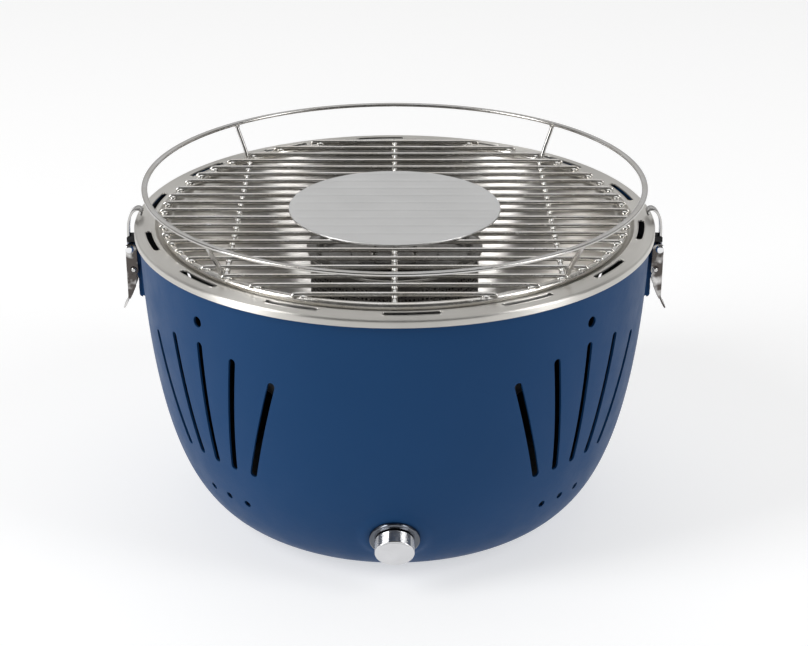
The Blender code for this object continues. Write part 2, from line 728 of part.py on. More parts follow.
def knob_group():
    """Knob, shaft, bezel and the rotary control behind the bowl, all on one axis."""
    axis = bpy.data.objects.new("knob_axis", None)
    axis.matrix_world = knob_matrix()
    PARTS.objects.link(axis)
    knob_low = 3.2 * MM
    bore_top = 9.5 * MM
    knob = turned("knob", [(0, KNOB_FACE), (KNOB_R - 0.8 * MM, KNOB_FACE), (KNOB_R, KNOB_FACE - 0.8 * MM),
                           (KNOB_R, knob_low), (SHAFT_R + GAP, knob_low), (SHAFT_R + GAP, bore_top),
                           (0, bore_top)], CHROME, MIDDLE_STEPS, closed=False)
    bezel = turned("knob_bezel", [(BEZEL_R - 1 * MM, 2.8 * MM), (BEZEL_R, 2 * MM), (BEZEL_R, 0.6 * MM),
                                  (NECK_HOLE_R, 0.6 * MM), (NECK_HOLE_R, 2.8 * MM)], CHROME, MIDDLE_STEPS)
    shaft = turned("knob_shaft", [(0, bore_top - 0.5 * MM), (SHAFT_R, bore_top - 0.5 * MM),
                                  (SHAFT_R, CONTROL_BOTTOM + 0.5 * MM), (0, CONTROL_BOTTOM + 0.5 * MM)],
                   STEEL, closed=False)
    control = turned("speed_control", [(NECK_R, 2.6 * MM), (NECK_R, CONTROL_TOP), (CONTROL_R, CONTROL_TOP),
                                       (CONTROL_R, CONTROL_BOTTOM), (NECK_BORE_R, CONTROL_BOTTOM),
                                       (NECK_BORE_R, 2.6 * MM)], BLACK)
    for piece in (knob, bezel, shaft, control):
        piece.parent = axis


# ---------------------------------------------------------------- base and fan

def base_plate():
    plate = turned("base_plate", [(0, BASE_TOP), (BASE_R, BASE_TOP), (BASE_R, BASE_Z), (0, BASE_Z)],
                   BLACK, MIDDLE_STEPS, closed=False)
    rods = [(p - Vector((0, 0, 9 * MM)), p + Vector((0, 0, 9 * MM)), 2.2 * MM) for p in post_places(BASE_Z)]
    boolean(plate, add_cutter("base_holes", rods_mesh("base_holes", rods, 10)))


def post_places(z):
    return [polar(POST_PLACE_R, azimuth, z) for azimuth in POST_AZIMUTHS]


def feet():
    top = BASE_Z - GAP
    for number, azimuth in enumerate((45, 135, 225, 315), start=1):
        foot = turned(f"foot_{number}", [(0, top), (FOOT_R, top), (FOOT_R, 1 * MM), (FOOT_R - 1 * MM, 0),
                                         (0, 0)], RUBBER, closed=False)
        foot.location = polar(FOOT_PLACE_R, azimuth, 0.0)


def base_screws():
    head_top = BASE_Z - GAP
    head_low = head_top - 1.9 * MM
    points = [(0, 22 * MM), (1.6 * MM, 21.4 * MM), (1.6 * MM, head_top), (3.6 * MM, head_top),
              (3.6 * MM, head_low + 0.5 * MM), (3 * MM, head_low), (0, head_low)]
    for number, place in enumerate(post_places(0.0), start=1):
        screw = turned(f"base_screw_{number}", points, STEEL, closed=False)
        screw.location = place


def housing_legs():
    """Three legs of the fan housing, bored from below for the base screws."""
    low = BASE_TOP + GAP
    high = FAN_FLOOR_Z + 1 * MM
    bore_r = 2 * MM
    bore_top = 24 * MM
    legs = []
    bores = []
    for place in post_places(low):
        legs.append((place, place + Vector((0, 0, high - low)), 5 * MM))
        bores.append((place - Vector((0, 0, 5 * MM)), place + Vector((0, 0, bore_top - low)), bore_r))
    return (add_cutter("fan_legs", rods_mesh("fan_legs", legs, 12)),
            add_cutter("leg_bores", rods_mesh("leg_bores", bores, 10)))


def fan():
    """Housing, cover with the air spout, impeller, shaft and motor on the centre line."""
    floor_hole_r = 4 * MM
    floor_top = FAN_FLOOR_Z + FAN_WALL
    inner_r = FAN_R - FAN_WALL
    housing = turned("fan_housing", [(FAN_R, FAN_TOP_Z), (FAN_R, FAN_FLOOR_Z), (floor_hole_r, FAN_FLOOR_Z),
                                     (floor_hole_r, floor_top), (inner_r, floor_top), (inner_r, FAN_TOP_Z)],
                     BLACK, MIDDLE_STEPS)
    inlets = []
    for index in range(6):
        place = polar(23 * MM, 30 + index * 60, FAN_FLOOR_Z - 3 * MM)
        inlets.append((place, place + Vector((0, 0, 8 * MM)), 6 * MM))
    boolean(housing, add_cutter("fan_inlets", rods_mesh("fan_inlets", inlets, 6)))
    legs, bores = housing_legs()
    boolean(housing, legs, "UNION")
    boolean(housing, bores)
    cover_low = FAN_TOP_Z + GAP
    cover_top = cover_low + FAN_WALL
    bore_r = SPOUT_R - FAN_WALL
    turned("fan_cover", [(SPOUT_R, SPOUT_TOP_Z), (SPOUT_R, cover_top), (FAN_R, cover_top), (FAN_R, cover_low),
                         (bore_r, cover_low), (bore_r, SPOUT_TOP_Z)], BLACK, MIDDLE_STEPS)
    impeller()
    motor_low = 12 * MM
    motor_top = FAN_FLOOR_Z - GAP
    bore = MOTOR_SHAFT_R + GAP
    turned("fan_motor", [(MOTOR_R, motor_top), (MOTOR_R, motor_low), (bore, motor_low), (bore, motor_top)],
           STEEL)
    turned("motor_shaft", [(0, 55 * MM), (MOTOR_SHAFT_R, 55 * MM), (MOTOR_SHAFT_R, 13 * MM), (0, 13 * MM)],
           STEEL, closed=False)


def impeller():
    bore = MOTOR_SHAFT_R + GAP
    disc_top = IMPELLER_Z + 1.5 * MM
    hub_top = IMPELLER_Z + 12 * MM
    wheel = turned("impeller", [(8 * MM, hub_top), (8 * MM, disc_top), (IMPELLER_R, disc_top),
                                (IMPELLER_R, IMPELLER_Z), (bore, IMPELLER_Z), (bore, hub_top)],
                   BLACK, MIDDLE_STEPS)
    bm = bmesh.new()
    blade = cube_mesh("blade", (14 * MM, -0.6 * MM, IMPELLER_Z + 0.7 * MM),
                      (IMPELLER_R - 0.5 * MM, 0.6 * MM, IMPELLER_Z + 20 * MM))
    for index in range(BLADES):
        turned_blade = blade.copy()
        turned_blade.transform(Matrix.Rotation(math.tau * index / BLADES, 4, "Z"))
        bm.from_mesh(turned_blade)
        bpy.data.meshes.remove(turned_blade)
    bpy.data.meshes.remove(blade)
    boolean(wheel, add_cutter("blades", mesh_of(bm, "blades")), "UNION")


# ---------------------------------------------------------------- batteries

def battery_box():
    """Open box with two hinge ears on its back wall."""
    half_x = BOX_SIZE[0] / 2
    front = BOX_CENTRE_Y - BOX_SIZE[1] / 2
    back = BOX_CENTRE_Y + BOX_SIZE[1] / 2
    box = add_part("battery_box", cube_mesh("battery_box", (-half_x, front, BOX_BOTTOM),
                                            (half_x, back, BOX_TOP)), BLACK)
    room = cube_mesh("battery_room", (-half_x + BOX_WALL, front + BOX_WALL, BOX_BOTTOM + BOX_WALL),
                     (half_x - BOX_WALL, back - BOX_WALL, BOX_TOP + 5 * MM))
    boolean(box, add_cutter("battery_room", room))
    for side in (-1, 1):
        xs = sorted((side * DOOR_EAR_X[0], side * DOOR_EAR_X[1]))
        ear = cube_mesh("door_ear", (xs[0], back - DOOR_EAR_ROOT, BOX_TOP - 7 * MM),
                        (xs[1], DOOR_AXIS_Y + 2.5 * MM, DOOR_AXIS_Z + 2.5 * MM))
        boolean(box, add_cutter(f"door_ear_{(side + 3) // 2}", ear), "UNION")
    boolean(box, door_bore("box_bore", 40 * MM))


def door_bore(name, half):
    rods = [((-half, DOOR_AXIS_Y, DOOR_AXIS_Z), (half, DOOR_AXIS_Y, DOOR_AXIS_Z), DOOR_HOLE_R)]
    return add_cutter(name, rods_mesh(name, rods, 10))


def battery_door():
    """Lid of the box with a long hinge knuckle between the ears; its origin is on the hinge."""
    half_x = BOX_SIZE[0] / 2
    front = BOX_CENTRE_Y - BOX_SIZE[1] / 2
    low = BOX_TOP + GAP
    high = low + DOOR_THICKNESS
    knuckle_half = DOOR_EAR_X[0] - GAP * 2
    back = BOX_CENTRE_Y + BOX_SIZE[1] / 2 - DOOR_EAR_CLEARANCE
    mesh = cube_mesh("battery_door", (-half_x, front, low), (half_x, back, high))
    door = add_part("battery_door", mesh, BLACK)
    tongue = cube_mesh("door_tongue", (-knuckle_half, back - 1 * MM, low),
                       (knuckle_half, DOOR_AXIS_Y, high))
    boolean(door, add_cutter("door_tongue", tongue), "UNION")
    rods = [((-knuckle_half, DOOR_AXIS_Y, DOOR_AXIS_Z), (knuckle_half, DOOR_AXIS_Y, DOOR_AXIS_Z), 2.4 * MM)]
    boolean(door, add_cutter("door_knuckle", rods_mesh("door_knuckle", rods, 12)), "UNION")
    boolean(door, door_bore("door_bore", 40 * MM))


def door_hinge_pin():
    half = DOOR_EAR_X[1] + 0.5 * MM
    mesh = rods_mesh("door_hinge_pin", [((-half, 0, 0), (half, 0, 0), DOOR_PIN_R)], 10)
    pin = add_part("door_hinge_pin", mesh, STEEL)
    pin.location = (0.0, DOOR_AXIS_Y, DOOR_AXIS_Z)


def battery_cells():
    """Four round cells side by side, lying along Y, each with its raised contact."""
    half = CELL_LENGTH / 2
    nub = 1.2 * MM
    points = [(0, half), (2.6 * MM, half), (2.6 * MM, half - nub), (CELL_R, half - nub),
              (CELL_R, -half), (0, -half)]
    z = BOX_BOTTOM + BOX_WALL + GAP + CELL_R
    for number in range(1, 5):
        cell = turned(f"battery_{number}", points, CELL, closed=False)
        flip = 90 if number % 2 else -90
        cell.rotation_euler = (math.radians(flip), 0.0, 0.0)
        cell.location = ((number - 2.5) * CELL_PITCH, BOX_CENTRE_Y, z)


# ---------------------------------------------------------------- inner leads

def leads():
    """Two wires laid on the base: control to motor, and battery box to control."""
    rear = knob_matrix() @ Vector((0.0, 0.0, CONTROL_BOTTOM - GAP - 0.2 * MM))
    lead_r = 1.3 * MM
    floor_z = BASE_TOP + lead_r + 1.2 * MM
    motor_side = -(MOTOR_R + GAP + 0.2 * MM)
    route = [(0, rear.y, rear.z), (0, rear.y + 8 * MM, rear.z + 2 * MM), (0, -108 * MM, 38 * MM),
             (0, -94 * MM, 22 * MM), (0, -80 * MM, 13.5 * MM), (0, -64 * MM, floor_z),
             (0, -46 * MM, floor_z), (0, -30 * MM, 14 * MM), (0, motor_side, 20 * MM)]
    wire("motor_lead", smooth_route(route), lead_r, BLACK, 1)
    side_x = BOX_SIZE[0] / 2 + GAP + 0.2 * MM
    route = [(side_x, 60 * MM, 16 * MM), (side_x + 10 * MM, 57 * MM, 14 * MM), (62 * MM, 36 * MM, floor_z),
             (72 * MM, 0, floor_z), (66 * MM, -40 * MM, floor_z), (50 * MM, -70 * MM, floor_z + 2 * MM),
             (32 * MM, -94 * MM, 22 * MM), (16 * MM, -112 * MM, 38 * MM),
             (7 * MM, rear.y + 8 * MM, rear.z + 3 * MM), (6 * MM, rear.y, rear.z)]
    wire("battery_lead", smooth_route(route), lead_r, BLACK, 1)


clear_scene()
PARTS = new_collection("portable_tabletop_grill")
CUTTERS = new_collection("cutters")
outer_bowl()
inner_bowl()
grate_grid()
grate_plate()
raised_ring()
struts()
basket()
fuel_dish()
for hand in (-1, 1):
    latch_bracket(hand)
    bracket_rivets(hand)
    latch_pins(hand)
    latch_lever(hand)
    strap_pin(hand)
    latch_strap(hand)
    strap_buffer(hand)
knob_group()
base_plate()
feet()
base_screws()
fan()
battery_box()
battery_door()
door_hinge_pin()
battery_cells()
leads()
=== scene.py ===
"""Looks for the portable tabletop grill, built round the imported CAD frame.

Metres, +Z up, the knob towards -Y, the ground at z = 0.
"""

import json
import math

import bmesh
import bpy
from mathutils import Matrix, Vector


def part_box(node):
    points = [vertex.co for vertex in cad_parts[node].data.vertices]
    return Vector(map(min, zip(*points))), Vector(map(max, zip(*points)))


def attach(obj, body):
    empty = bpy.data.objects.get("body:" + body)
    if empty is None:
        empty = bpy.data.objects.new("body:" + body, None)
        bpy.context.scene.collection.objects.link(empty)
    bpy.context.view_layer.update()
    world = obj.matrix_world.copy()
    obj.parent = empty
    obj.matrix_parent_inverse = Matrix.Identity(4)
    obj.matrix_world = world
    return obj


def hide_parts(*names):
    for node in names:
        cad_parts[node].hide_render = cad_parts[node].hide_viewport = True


MM = 0.001

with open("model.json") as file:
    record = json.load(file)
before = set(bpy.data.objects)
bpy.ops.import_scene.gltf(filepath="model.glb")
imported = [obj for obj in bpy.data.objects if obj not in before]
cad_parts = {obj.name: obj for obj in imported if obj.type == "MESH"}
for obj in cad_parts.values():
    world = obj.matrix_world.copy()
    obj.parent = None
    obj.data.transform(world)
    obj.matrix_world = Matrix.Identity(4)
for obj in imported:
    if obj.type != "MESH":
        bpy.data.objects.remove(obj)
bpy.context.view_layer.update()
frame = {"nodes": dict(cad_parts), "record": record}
NODES = frame["nodes"]
SCENE = bpy.context.scene


# ---------------------------------------- camera, light and floor

CAMERA_PLACE = (0.0, -1.1948, 0.6551)
CAMERA_DOWN = 23.95  # degrees below level
CAMERA_LENS = 83.9
CAMERA_SHIFT = 0.0116  # the grill stands a little left of the middle
LIGHT_AIM = Vector((0.0, 0.0, 0.12))
WORLD_LEVELS = ((0.0, 0.35), (0.14, 0.4), (0.3, 0.62), (0.45, 0.87), (0.62, 0.62), (0.8, 0.55), (0.95, 0.8))
FLOOR_HALF = 12.0
FLOOR_DROP = 0.0002  # the floor lies just under the feet


def make_camera():
    data = bpy.data.cameras.new("camera")
    data.lens = CAMERA_LENS
    data.sensor_width = 36.0
    data.shift_x = CAMERA_SHIFT
    cam = bpy.data.objects.new("camera", data)
    cam.location = CAMERA_PLACE
    cam.rotation_euler = (math.radians(90 - CAMERA_DOWN), 0.0, 0.0)
    SCENE.collection.objects.link(cam)
    SCENE.camera = cam


def area_light(name, place, size, power):
    data = bpy.data.lights.new(name, "AREA")
    data.shape = "RECTANGLE"
    data.size = size[0]
    data.size_y = size[1]
    data.energy = power
    lamp = bpy.data.objects.new(name, data)
    lamp.location = place
    lamp.rotation_euler = (LIGHT_AIM - Vector(place)).to_track_quat("-Z", "Y").to_euler()
    SCENE.collection.objects.link(lamp)


def make_light():
    SCENE.view_settings.view_transform = "Standard"
    area_light("key_top", (0.2, 0.5, 3.8), (3.0, 2.4), 18)
    area_light("strip_left", (-2.75, -1.15, 1.7), (1.2, 3.2), 84)
    area_light("strip_right", (2.75, -1.2, 1.7), (1.1, 3.2), 47)
    make_world()


def make_world():
    """A studio seen from the table: a broad pale wall behind, dim walls in front and above."""
    world = bpy.data.worlds.new("studio")
    world.use_nodes = True
    tree = world.node_tree
    tree.nodes.clear()
    out = tree.nodes.new("ShaderNodeOutputWorld")
    back = tree.nodes.new("ShaderNodeBackground")
    coord = tree.nodes.new("ShaderNodeTexCoord")
    split = tree.nodes.new("ShaderNodeSeparateXYZ")
    tree.links.new(coord.outputs["Generated"], split.inputs[0])
    height = tree.nodes.new("ShaderNodeValToRGB")
    tree.links.new(split.outputs["Z"], height.inputs[0])
    level_stops(height, WORLD_LEVELS)
    depth = tree.nodes.new("ShaderNodeMapRange")
    depth.interpolation_type = "SMOOTHSTEP"
    depth.inputs["From Min"].default_value = -0.2
    depth.inputs["From Max"].default_value = 0.95
    depth.inputs["To Min"].default_value = 0.12
    depth.inputs["To Max"].default_value = 1.0
    tree.links.new(split.outputs["Y"], depth.inputs["Value"])
    product = tree.nodes.new("ShaderNodeMath")
    product.operation = "MULTIPLY"
    tree.links.new(height.outputs[0], product.inputs[0])
    tree.links.new(depth.outputs[0], product.inputs[1])
    tree.links.new(product.outputs[0], back.inputs["Color"])
    back.inputs["Strength"].default_value = 1.0
    tree.links.new(back.outputs[0], out.inputs["Surface"])
    SCENE.world = world


def level_stops(ramp, stops):
    """Grey stops of a colour ramp, from the first to the last."""
    elements = ramp.color_ramp.elements
    elements[0].position = stops[0][0]
    elements[-1].position = stops[-1][0]
    for position, _ in stops[1:-1]:
        elements.new(position)
    for element, (_, level) in zip(elements, stops):
        element.color = (level, level, level, 1.0)


def make_floor():
    half = FLOOR_HALF
    corners = [(-half, -half, 0), (half, -half, 0), (half, half, 0), (-half, half, 0)]
    mesh = bpy.data.meshes.new("floor")
    mesh.from_pydata(corners, [], [(0, 1, 2, 3)])
    floor = bpy.data.objects.new("floor", mesh)
    floor.location = (0.0, 0.0, -FLOOR_DROP)
    SCENE.collection.objects.link(floor)
    mat = bpy.data.materials.new("floor_paper")
    mat.use_nodes = True
    shader = mat.node_tree.nodes["Principled BSDF"]
    shader.inputs["Base Color"].default_value = (0.57, 0.57, 0.57, 1.0)
    shader.inputs["Roughness"].default_value = 0.9
    shader.inputs["Specular IOR Level"].default_value = 0.1
    shader.inputs["Emission Color"].default_value = (1.0, 1.0, 1.0, 1.0)
    shader.inputs["Emission Strength"].default_value = 0.565
    mesh.materials.append(mat)


# ---------------------------------------- materials

class Nodes:
    """A short way to lay procedural nodes in a material."""

    def __init__(self, name, colour, roughness, metallic=0.0):
        self.mat = bpy.data.materials.new(name)
        self.mat.use_nodes = True
        self.tree = self.mat.node_tree
        self.shader = self.tree.nodes["Principled BSDF"]
        self.shader.inputs["Base Color"].default_value = (*colour, 1.0)
        self.shader.inputs["Roughness"].default_value = roughness
        self.shader.inputs["Metallic"].default_value = metallic
        self.coord = self.tree.nodes.new("ShaderNodeTexCoord").outputs["Object"]
        self.bumped = None

    def link(self, source, target):
        self.tree.links.new(source, target)

    def scaled(self, scale, source=None):
        """The object's own coordinates, or another vector, stretched."""
        node = self.tree.nodes.new("ShaderNodeMapping")
        node.inputs["Scale"].default_value = scale
        self.link(source or self.coord, node.inputs["Vector"])
        return node.outputs[0]

    def noise(self, scale, detail=3.0, vector=None):
        node = self.tree.nodes.new("ShaderNodeTexNoise")
        node.inputs["Scale"].default_value = scale
        node.inputs["Detail"].default_value = detail
        self.link(vector or self.coord, node.inputs["Vector"])
        return node.outputs["Fac"]

    def cells(self, scale):
        node = self.tree.nodes.new("ShaderNodeTexVoronoi")
        node.inputs["Scale"].default_value = scale
        self.link(self.coord, node.inputs["Vector"])
        return node.outputs["Distance"]

    def math(self, operation, first, second=None):
        node = self.tree.nodes.new("ShaderNodeMath")
        node.operation = operation
        for socket, value in zip(node.inputs, (first, second)):
            if value is None:
                continue
            if isinstance(value, (int, float)):
                socket.default_value = value
            else:
                self.link(value, socket)
        return node.outputs[0]

    def radius(self):
        """Distance from the Z axis, laid along X: the grain of a spun piece."""
        split = self.tree.nodes.new("ShaderNodeSeparateXYZ")
        self.link(self.coord, split.inputs[0])
        x2 = self.math("MULTIPLY", split.outputs["X"], split.outputs["X"])
        y2 = self.math("MULTIPLY", split.outputs["Y"], split.outputs["Y"])
        join = self.tree.nodes.new("ShaderNodeCombineXYZ")
        self.link(self.math("SQRT", self.math("ADD", x2, y2)), join.inputs["X"])
        self.link(split.outputs["Z"], join.inputs["Y"])
        return join.outputs[0]

    def remap(self, source, low, high, start=0.3, end=0.7):
        node = self.tree.nodes.new("ShaderNodeMapRange")
        node.inputs["From Min"].default_value = start
        node.inputs["From Max"].default_value = end
        node.inputs["To Min"].default_value = low
        node.inputs["To Max"].default_value = high
        self.link(source, node.inputs["Value"])
        return node.outputs[0]

    def blend(self, factor, first, second):
        node = self.tree.nodes.new("ShaderNodeMix")
        node.data_type = "RGBA"
        self.link(factor, node.inputs["Factor"])
        node.inputs["A"].default_value = (*first, 1.0)
        node.inputs["B"].default_value = (*second, 1.0)
        return node.outputs["Result"]

    def vary(self, factor, first, second):
        self.link(self.blend(factor, first, second), self.shader.inputs["Base Color"])

    def rough(self, factor, low, high):
        self.link(self.remap(factor, low, high), self.shader.inputs["Roughness"])

    def bump(self, height, strength, distance):
        node = self.tree.nodes.new("ShaderNodeBump")
        node.inputs["Strength"].default_value = strength
        node.inputs["Distance"].default_value = distance
        self.link(height, node.inputs["Height"])
        if self.bumped:
            self.link(self.bumped, node.inputs["Normal"])
        self.bumped = node.outputs[0]
        self.link(self.bumped, self.shader.inputs["Normal"])

    def grain_round_z(self, stretch):
        """Spun grain: the highlight is drawn out across the rings."""
        node = self.tree.nodes.new("ShaderNodeTangent")
        node.direction_type = "RADIAL"
        node.axis = "Z"
        self.shader.inputs["Anisotropic"].default_value = stretch
        self.shader.inputs["Anisotropic Rotation"].default_value = 0.25
        self.link(node.outputs[0], self.shader.inputs["Tangent"])


def paint_material():
    """Blue powder coat: fine orange peel, slightly uneven gloss."""
    m = Nodes("bowl_paint", (0.009, 0.05, 0.144), 0.45)
    m.shader.inputs["Specular IOR Level"].default_value = 0.1
    m.vary(m.noise(14.0, 4.0), (0.008, 0.047, 0.135), (0.010, 0.053, 0.152))
    m.rough(m.noise(60.0, 4.0), 0.40, 0.50)
    m.bump(m.noise(1500.0, 2.0), 0.12, 0.0004)
    m.bump(m.noise(260.0, 2.0), 0.06, 0.001)
    return m.mat


def spun_material(name, colour, roughness, grain=0.12, stretch=0.6):
    """Spun sheet steel: fine rings round the Z axis and faint cloudy wear."""
    m = Nodes(name, colour, roughness, 1.0)
    rings = m.noise(1400.0, 3.0, m.scaled((1.0, 1.0, 0.02), m.radius()))
    broad = m.noise(18.0, 3.0)
    dark = tuple(c * 0.88 for c in colour)
    m.vary(m.remap(broad, 0.0, 1.0), dark, colour)
    m.rough(rings, roughness * 0.9, roughness * 1.15)
    m.bump(rings, grain, 0.0003)
    m.grain_round_z(stretch)
    return m.mat


def wire_material(name, colour, roughness):
    """Bright drawn wire with a slight haze and tiny drawing marks."""
    m = Nodes(name, colour, roughness, 1.0)
    marks = m.noise(900.0, 3.0, m.scaled((0.12, 1.0, 1.0)))
    haze = m.noise(45.0, 4.0)
    warm = (colour[0] * 0.86, colour[1] * 0.83, colour[2] * 0.78)
    m.vary(m.remap(haze, 0.0, 1.0), warm, colour)
    m.rough(marks, roughness * 0.75, roughness * 1.4)
    m.bump(marks, 0.03, 0.0002)
    return m.mat


def brushed_material(name, colour, roughness):
    """Flat sheet brushed along X."""
    m = Nodes(name, colour, roughness, 1.0)
    lines = m.noise(1600.0, 3.0, m.scaled((0.03, 1.0, 1.0)))
    m.vary(m.remap(m.noise(20.0, 3.0), 0.0, 1.0), tuple(c * 0.92 for c in colour), colour)
    m.rough(lines, roughness * 0.85, roughness * 1.2)
    m.bump(lines, 0.1, 0.0002)
    return m.mat


def chrome_material(name, roughness, colour):
    """Bright plating or polished steel, a little wavy."""
    m = Nodes(name, colour, roughness, 1.0)
    m.vary(m.remap(m.noise(70.0, 4.0), 0.0, 1.0), tuple(c * 0.9 for c in colour), colour)
    m.rough(m.noise(160.0, 5.0), roughness * 0.6, roughness * 1.7)
    m.bump(m.noise(420.0, 2.0), 0.03, 0.0003)
    return m.mat


def lever_reflection_material():
    """Pressed lever steel: dark patches between bright ones, painted reflections of dark and bright
    surroundings.
    """
    m = Nodes("lever_steel", (0.2, 0.19, 0.18), 0.2, 1.0)
    # dark base and dark and bright patches: painted reflections of the surroundings
    patches = m.remap(m.noise(110.0, 2.0), 0.0, 1.0, 0.46, 0.62)
    m.vary(patches, (0.09, 0.08, 0.075), (0.62, 0.61, 0.6))
    m.rough(m.noise(160.0, 5.0), 0.12, 0.32)
    m.bump(m.noise(150.0, 2.0), 0.25, 0.0006)
    return m.mat


def plastic_material(name, colour, roughness, scale=900.0):
    """Moulded plastic with spark-eroded grain."""
    m = Nodes(name, colour, roughness)
    m.vary(m.noise(30.0, 3.0), tuple(c * 0.85 for c in colour), tuple(c * 1.2 for c in colour))
    m.rough(m.noise(200.0, 3.0), roughness * 0.85, roughness * 1.15)
    m.bump(m.cells(scale), 0.18, 0.0003)
    return m.mat


def wrap_material():
    """Printed cell sleeve: a dark body with one copper-coloured end band."""
    m = Nodes("cell_wrap", (0.06, 0.07, 0.09), 0.3)
    split = m.tree.nodes.new("ShaderNodeSeparateXYZ")
    m.link(m.coord, split.inputs[0])
    band = m.math("GREATER_THAN", m.math("PINGPONG", split.outputs["Y"], 0.0775), 0.063)
    m.vary(band, (0.05, 0.06, 0.08), (0.55, 0.25, 0.09))
    m.rough(m.noise(120.0, 3.0), 0.25, 0.36)
    m.bump(m.noise(500.0, 2.0), 0.04, 0.0002)
    return m.mat


MATS = {
    "bowl_paint": paint_material(),
    # near-black inside of the bowl: painted shade, so the slots look black
    "bowl_inside_shade": plastic_material("bowl_inside_shade", (0.012, 0.012, 0.013), 0.6, 1500.0),
    "inner_steel": spun_material("inner_steel", (0.72, 0.7, 0.67), 0.3, 0.02, 0.85),
    "flange_steel": spun_material("flange_steel", (0.72, 0.7, 0.66), 0.36, 0.02, 0.9),
    "grate_steel": wire_material("grate_steel", (0.75, 0.74, 0.72), 0.21),
    "plate_steel": brushed_material("plate_steel", (0.76, 0.76, 0.755), 0.34),
    # a darker copy of the grate wire: painted shade on the raised ring and the struts
    "ring_wire_shaded": wire_material("ring_wire_shaded", (0.58, 0.575, 0.57), 0.18),
    # very dark basket steel: painted shade deep in the bowl under the plate
    "basket_steel": spun_material("basket_steel", (0.26, 0.25, 0.24), 0.24),
    # dark lid steel: painted shadow under the grate's plate
    "lid_steel_shadowed": chrome_material("lid_steel_shadowed", 0.14, (0.27, 0.26, 0.25)),
    # a brighter copy of the grate wire: painted glints on welds, cross bars and the basket rim
    "glint_steel": chrome_material("glint_steel", 0.12, (0.93, 0.92, 0.9)),
    "latch_chrome": chrome_material("latch_chrome", 0.15, (0.55, 0.54, 0.53)),
    "lever_steel": lever_reflection_material(),
    "pin_chrome": chrome_material("pin_chrome", 0.1, (0.85, 0.85, 0.86)),
    # dark chrome cup whose blue-grey tone is also a painted reflection of the navy bowl
    "bezel_chrome": chrome_material("bezel_chrome", 0.12, (0.13, 0.14, 0.16)),
    "knob_chrome": chrome_material("knob_chrome", 0.14, (0.72, 0.72, 0.73)),
    "buffer_rubber": plastic_material("buffer_rubber", (0.014, 0.014, 0.014), 0.7),
    "foot_rubber": plastic_material("foot_rubber", (0.02, 0.02, 0.02), 0.85),
    "black_plastic": plastic_material("black_plastic", (0.022, 0.022, 0.023), 0.5),
    "inner_metal": chrome_material("inner_metal", 0.3, (0.5, 0.5, 0.5)),
    "cell_wrap": wrap_material(),
}


# ---------------------------------------- mesh helpers

SMOOTH_ANGLE = 35
WIRE_ANGLE = 50


def smooth(mesh, angle):
    mesh.shade_smooth()
    mesh.set_sharp_from_angle(angle=math.radians(angle))


def link_object(name, mesh, slot, smooth_angle=SMOOTH_ANGLE, finish=None):
    """A smoothed piece for a slot of the record; finish picks a variant of that slot's material."""
    smooth(mesh, smooth_angle)
    mesh.materials.clear()
    mesh.materials.append(MATS[finish or slot])
    obj = bpy.data.objects.new(name, mesh)
    SCENE.collection.objects.link(obj)
    return obj


def mesh_from(name, shells):
    """One mesh from several (vertices, faces) shells."""
    verts = []
    faces = []
    for shell_verts, shell_faces in shells:
        start = len(verts)
        verts.extend(shell_verts)
        faces.extend([tuple(i + start for i in face) for face in shell_faces])
    mesh = bpy.data.meshes.new(name)
    mesh.from_pydata([tuple(v) for v in verts], [], faces)
    bm = bmesh.new()
    bm.from_mesh(mesh)
    bmesh.ops.recalc_face_normals(bm, faces=bm.faces)
    bm.to_mesh(mesh)
    bm.free()
    return mesh


def add_piece(name, shells, slot, body, node=None, smooth_angle=SMOOTH_ANGLE, finish=None):
    """A piece that rides a body, shown in place of a CAD node if one is named."""
    obj = link_object(name, mesh_from(name, shells), slot, smooth_angle, finish)
    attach(obj, body)
    if node:
        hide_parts(node)


def lathe(loop, steps):
    """A closed profile of (radius, z) turned about Z; points on the axis stay single."""
    verts = []
    rings = []
    for radius, z in loop:
        if radius < 1e-7:
            rings.append([len(verts)] * steps)
            verts.append((0.0, 0.0, z))
            continue
        rings.append(list(range(len(verts), len(verts) + steps)))
        for i in range(steps):
            a = math.tau * i / steps
            verts.append((radius * math.cos(a), radius * math.sin(a), z))
    faces = []
    for ring, after in zip(rings, rings[1:] + rings[:1]):
        for i in range(steps):
            j = (i + 1) % steps
            corners = [ring[i], ring[j], after[j], after[i]]
            face = list(dict.fromkeys(corners))
            if len(face) > 2:
                faces.append(tuple(face))
    return verts, faces


def arc(centre, radius, start, end, steps):
    """Points from one angle to another, in degrees."""
    angles = [math.radians(start + (end - start) * i / steps) for i in range(steps + 1)]
    return [(centre[0] + radius * math.cos(a), centre[1] + radius * math.sin(a)) for a in angles]


def offset(points, distance):
    """The chain moved to the left of its direction."""
    moved = []
    for i, point in enumerate(points):
        before = Vector(points[max(i - 1, 0)])
        after = Vector(points[min(i + 1, len(points) - 1)])
        along = (after - before).normalized()
        moved.append((point[0] - along.y * distance, point[1] + along.x * distance))
    return moved


def smooth_chain(points, pieces):
    """A smooth curve through the points, with some pieces between each two."""
    knots = [Vector(p) for p in points]
    knots = [2 * knots[0] - knots[1], *knots, 2 * knots[-1] - knots[-2]]
    chain = []
    for a, b, c, d in zip(knots, knots[1:], knots[2:], knots[3:]):
        for i in range(pieces):
            t = i / pieces
            chain.append(0.5 * (2 * b + (c - a) * t + (2 * a - 5 * b + 4 * c - d) * t * t
                                + (3 * b - a - 3 * c + d) * t * t * t))
    chain.append(knots[-2])
    return [tuple(p) for p in chain]


def sheet_loop(points, thickness):
    """A closed profile from one side of a sheet and its other side."""
    return list(points) + offset(points, thickness)[::-1]


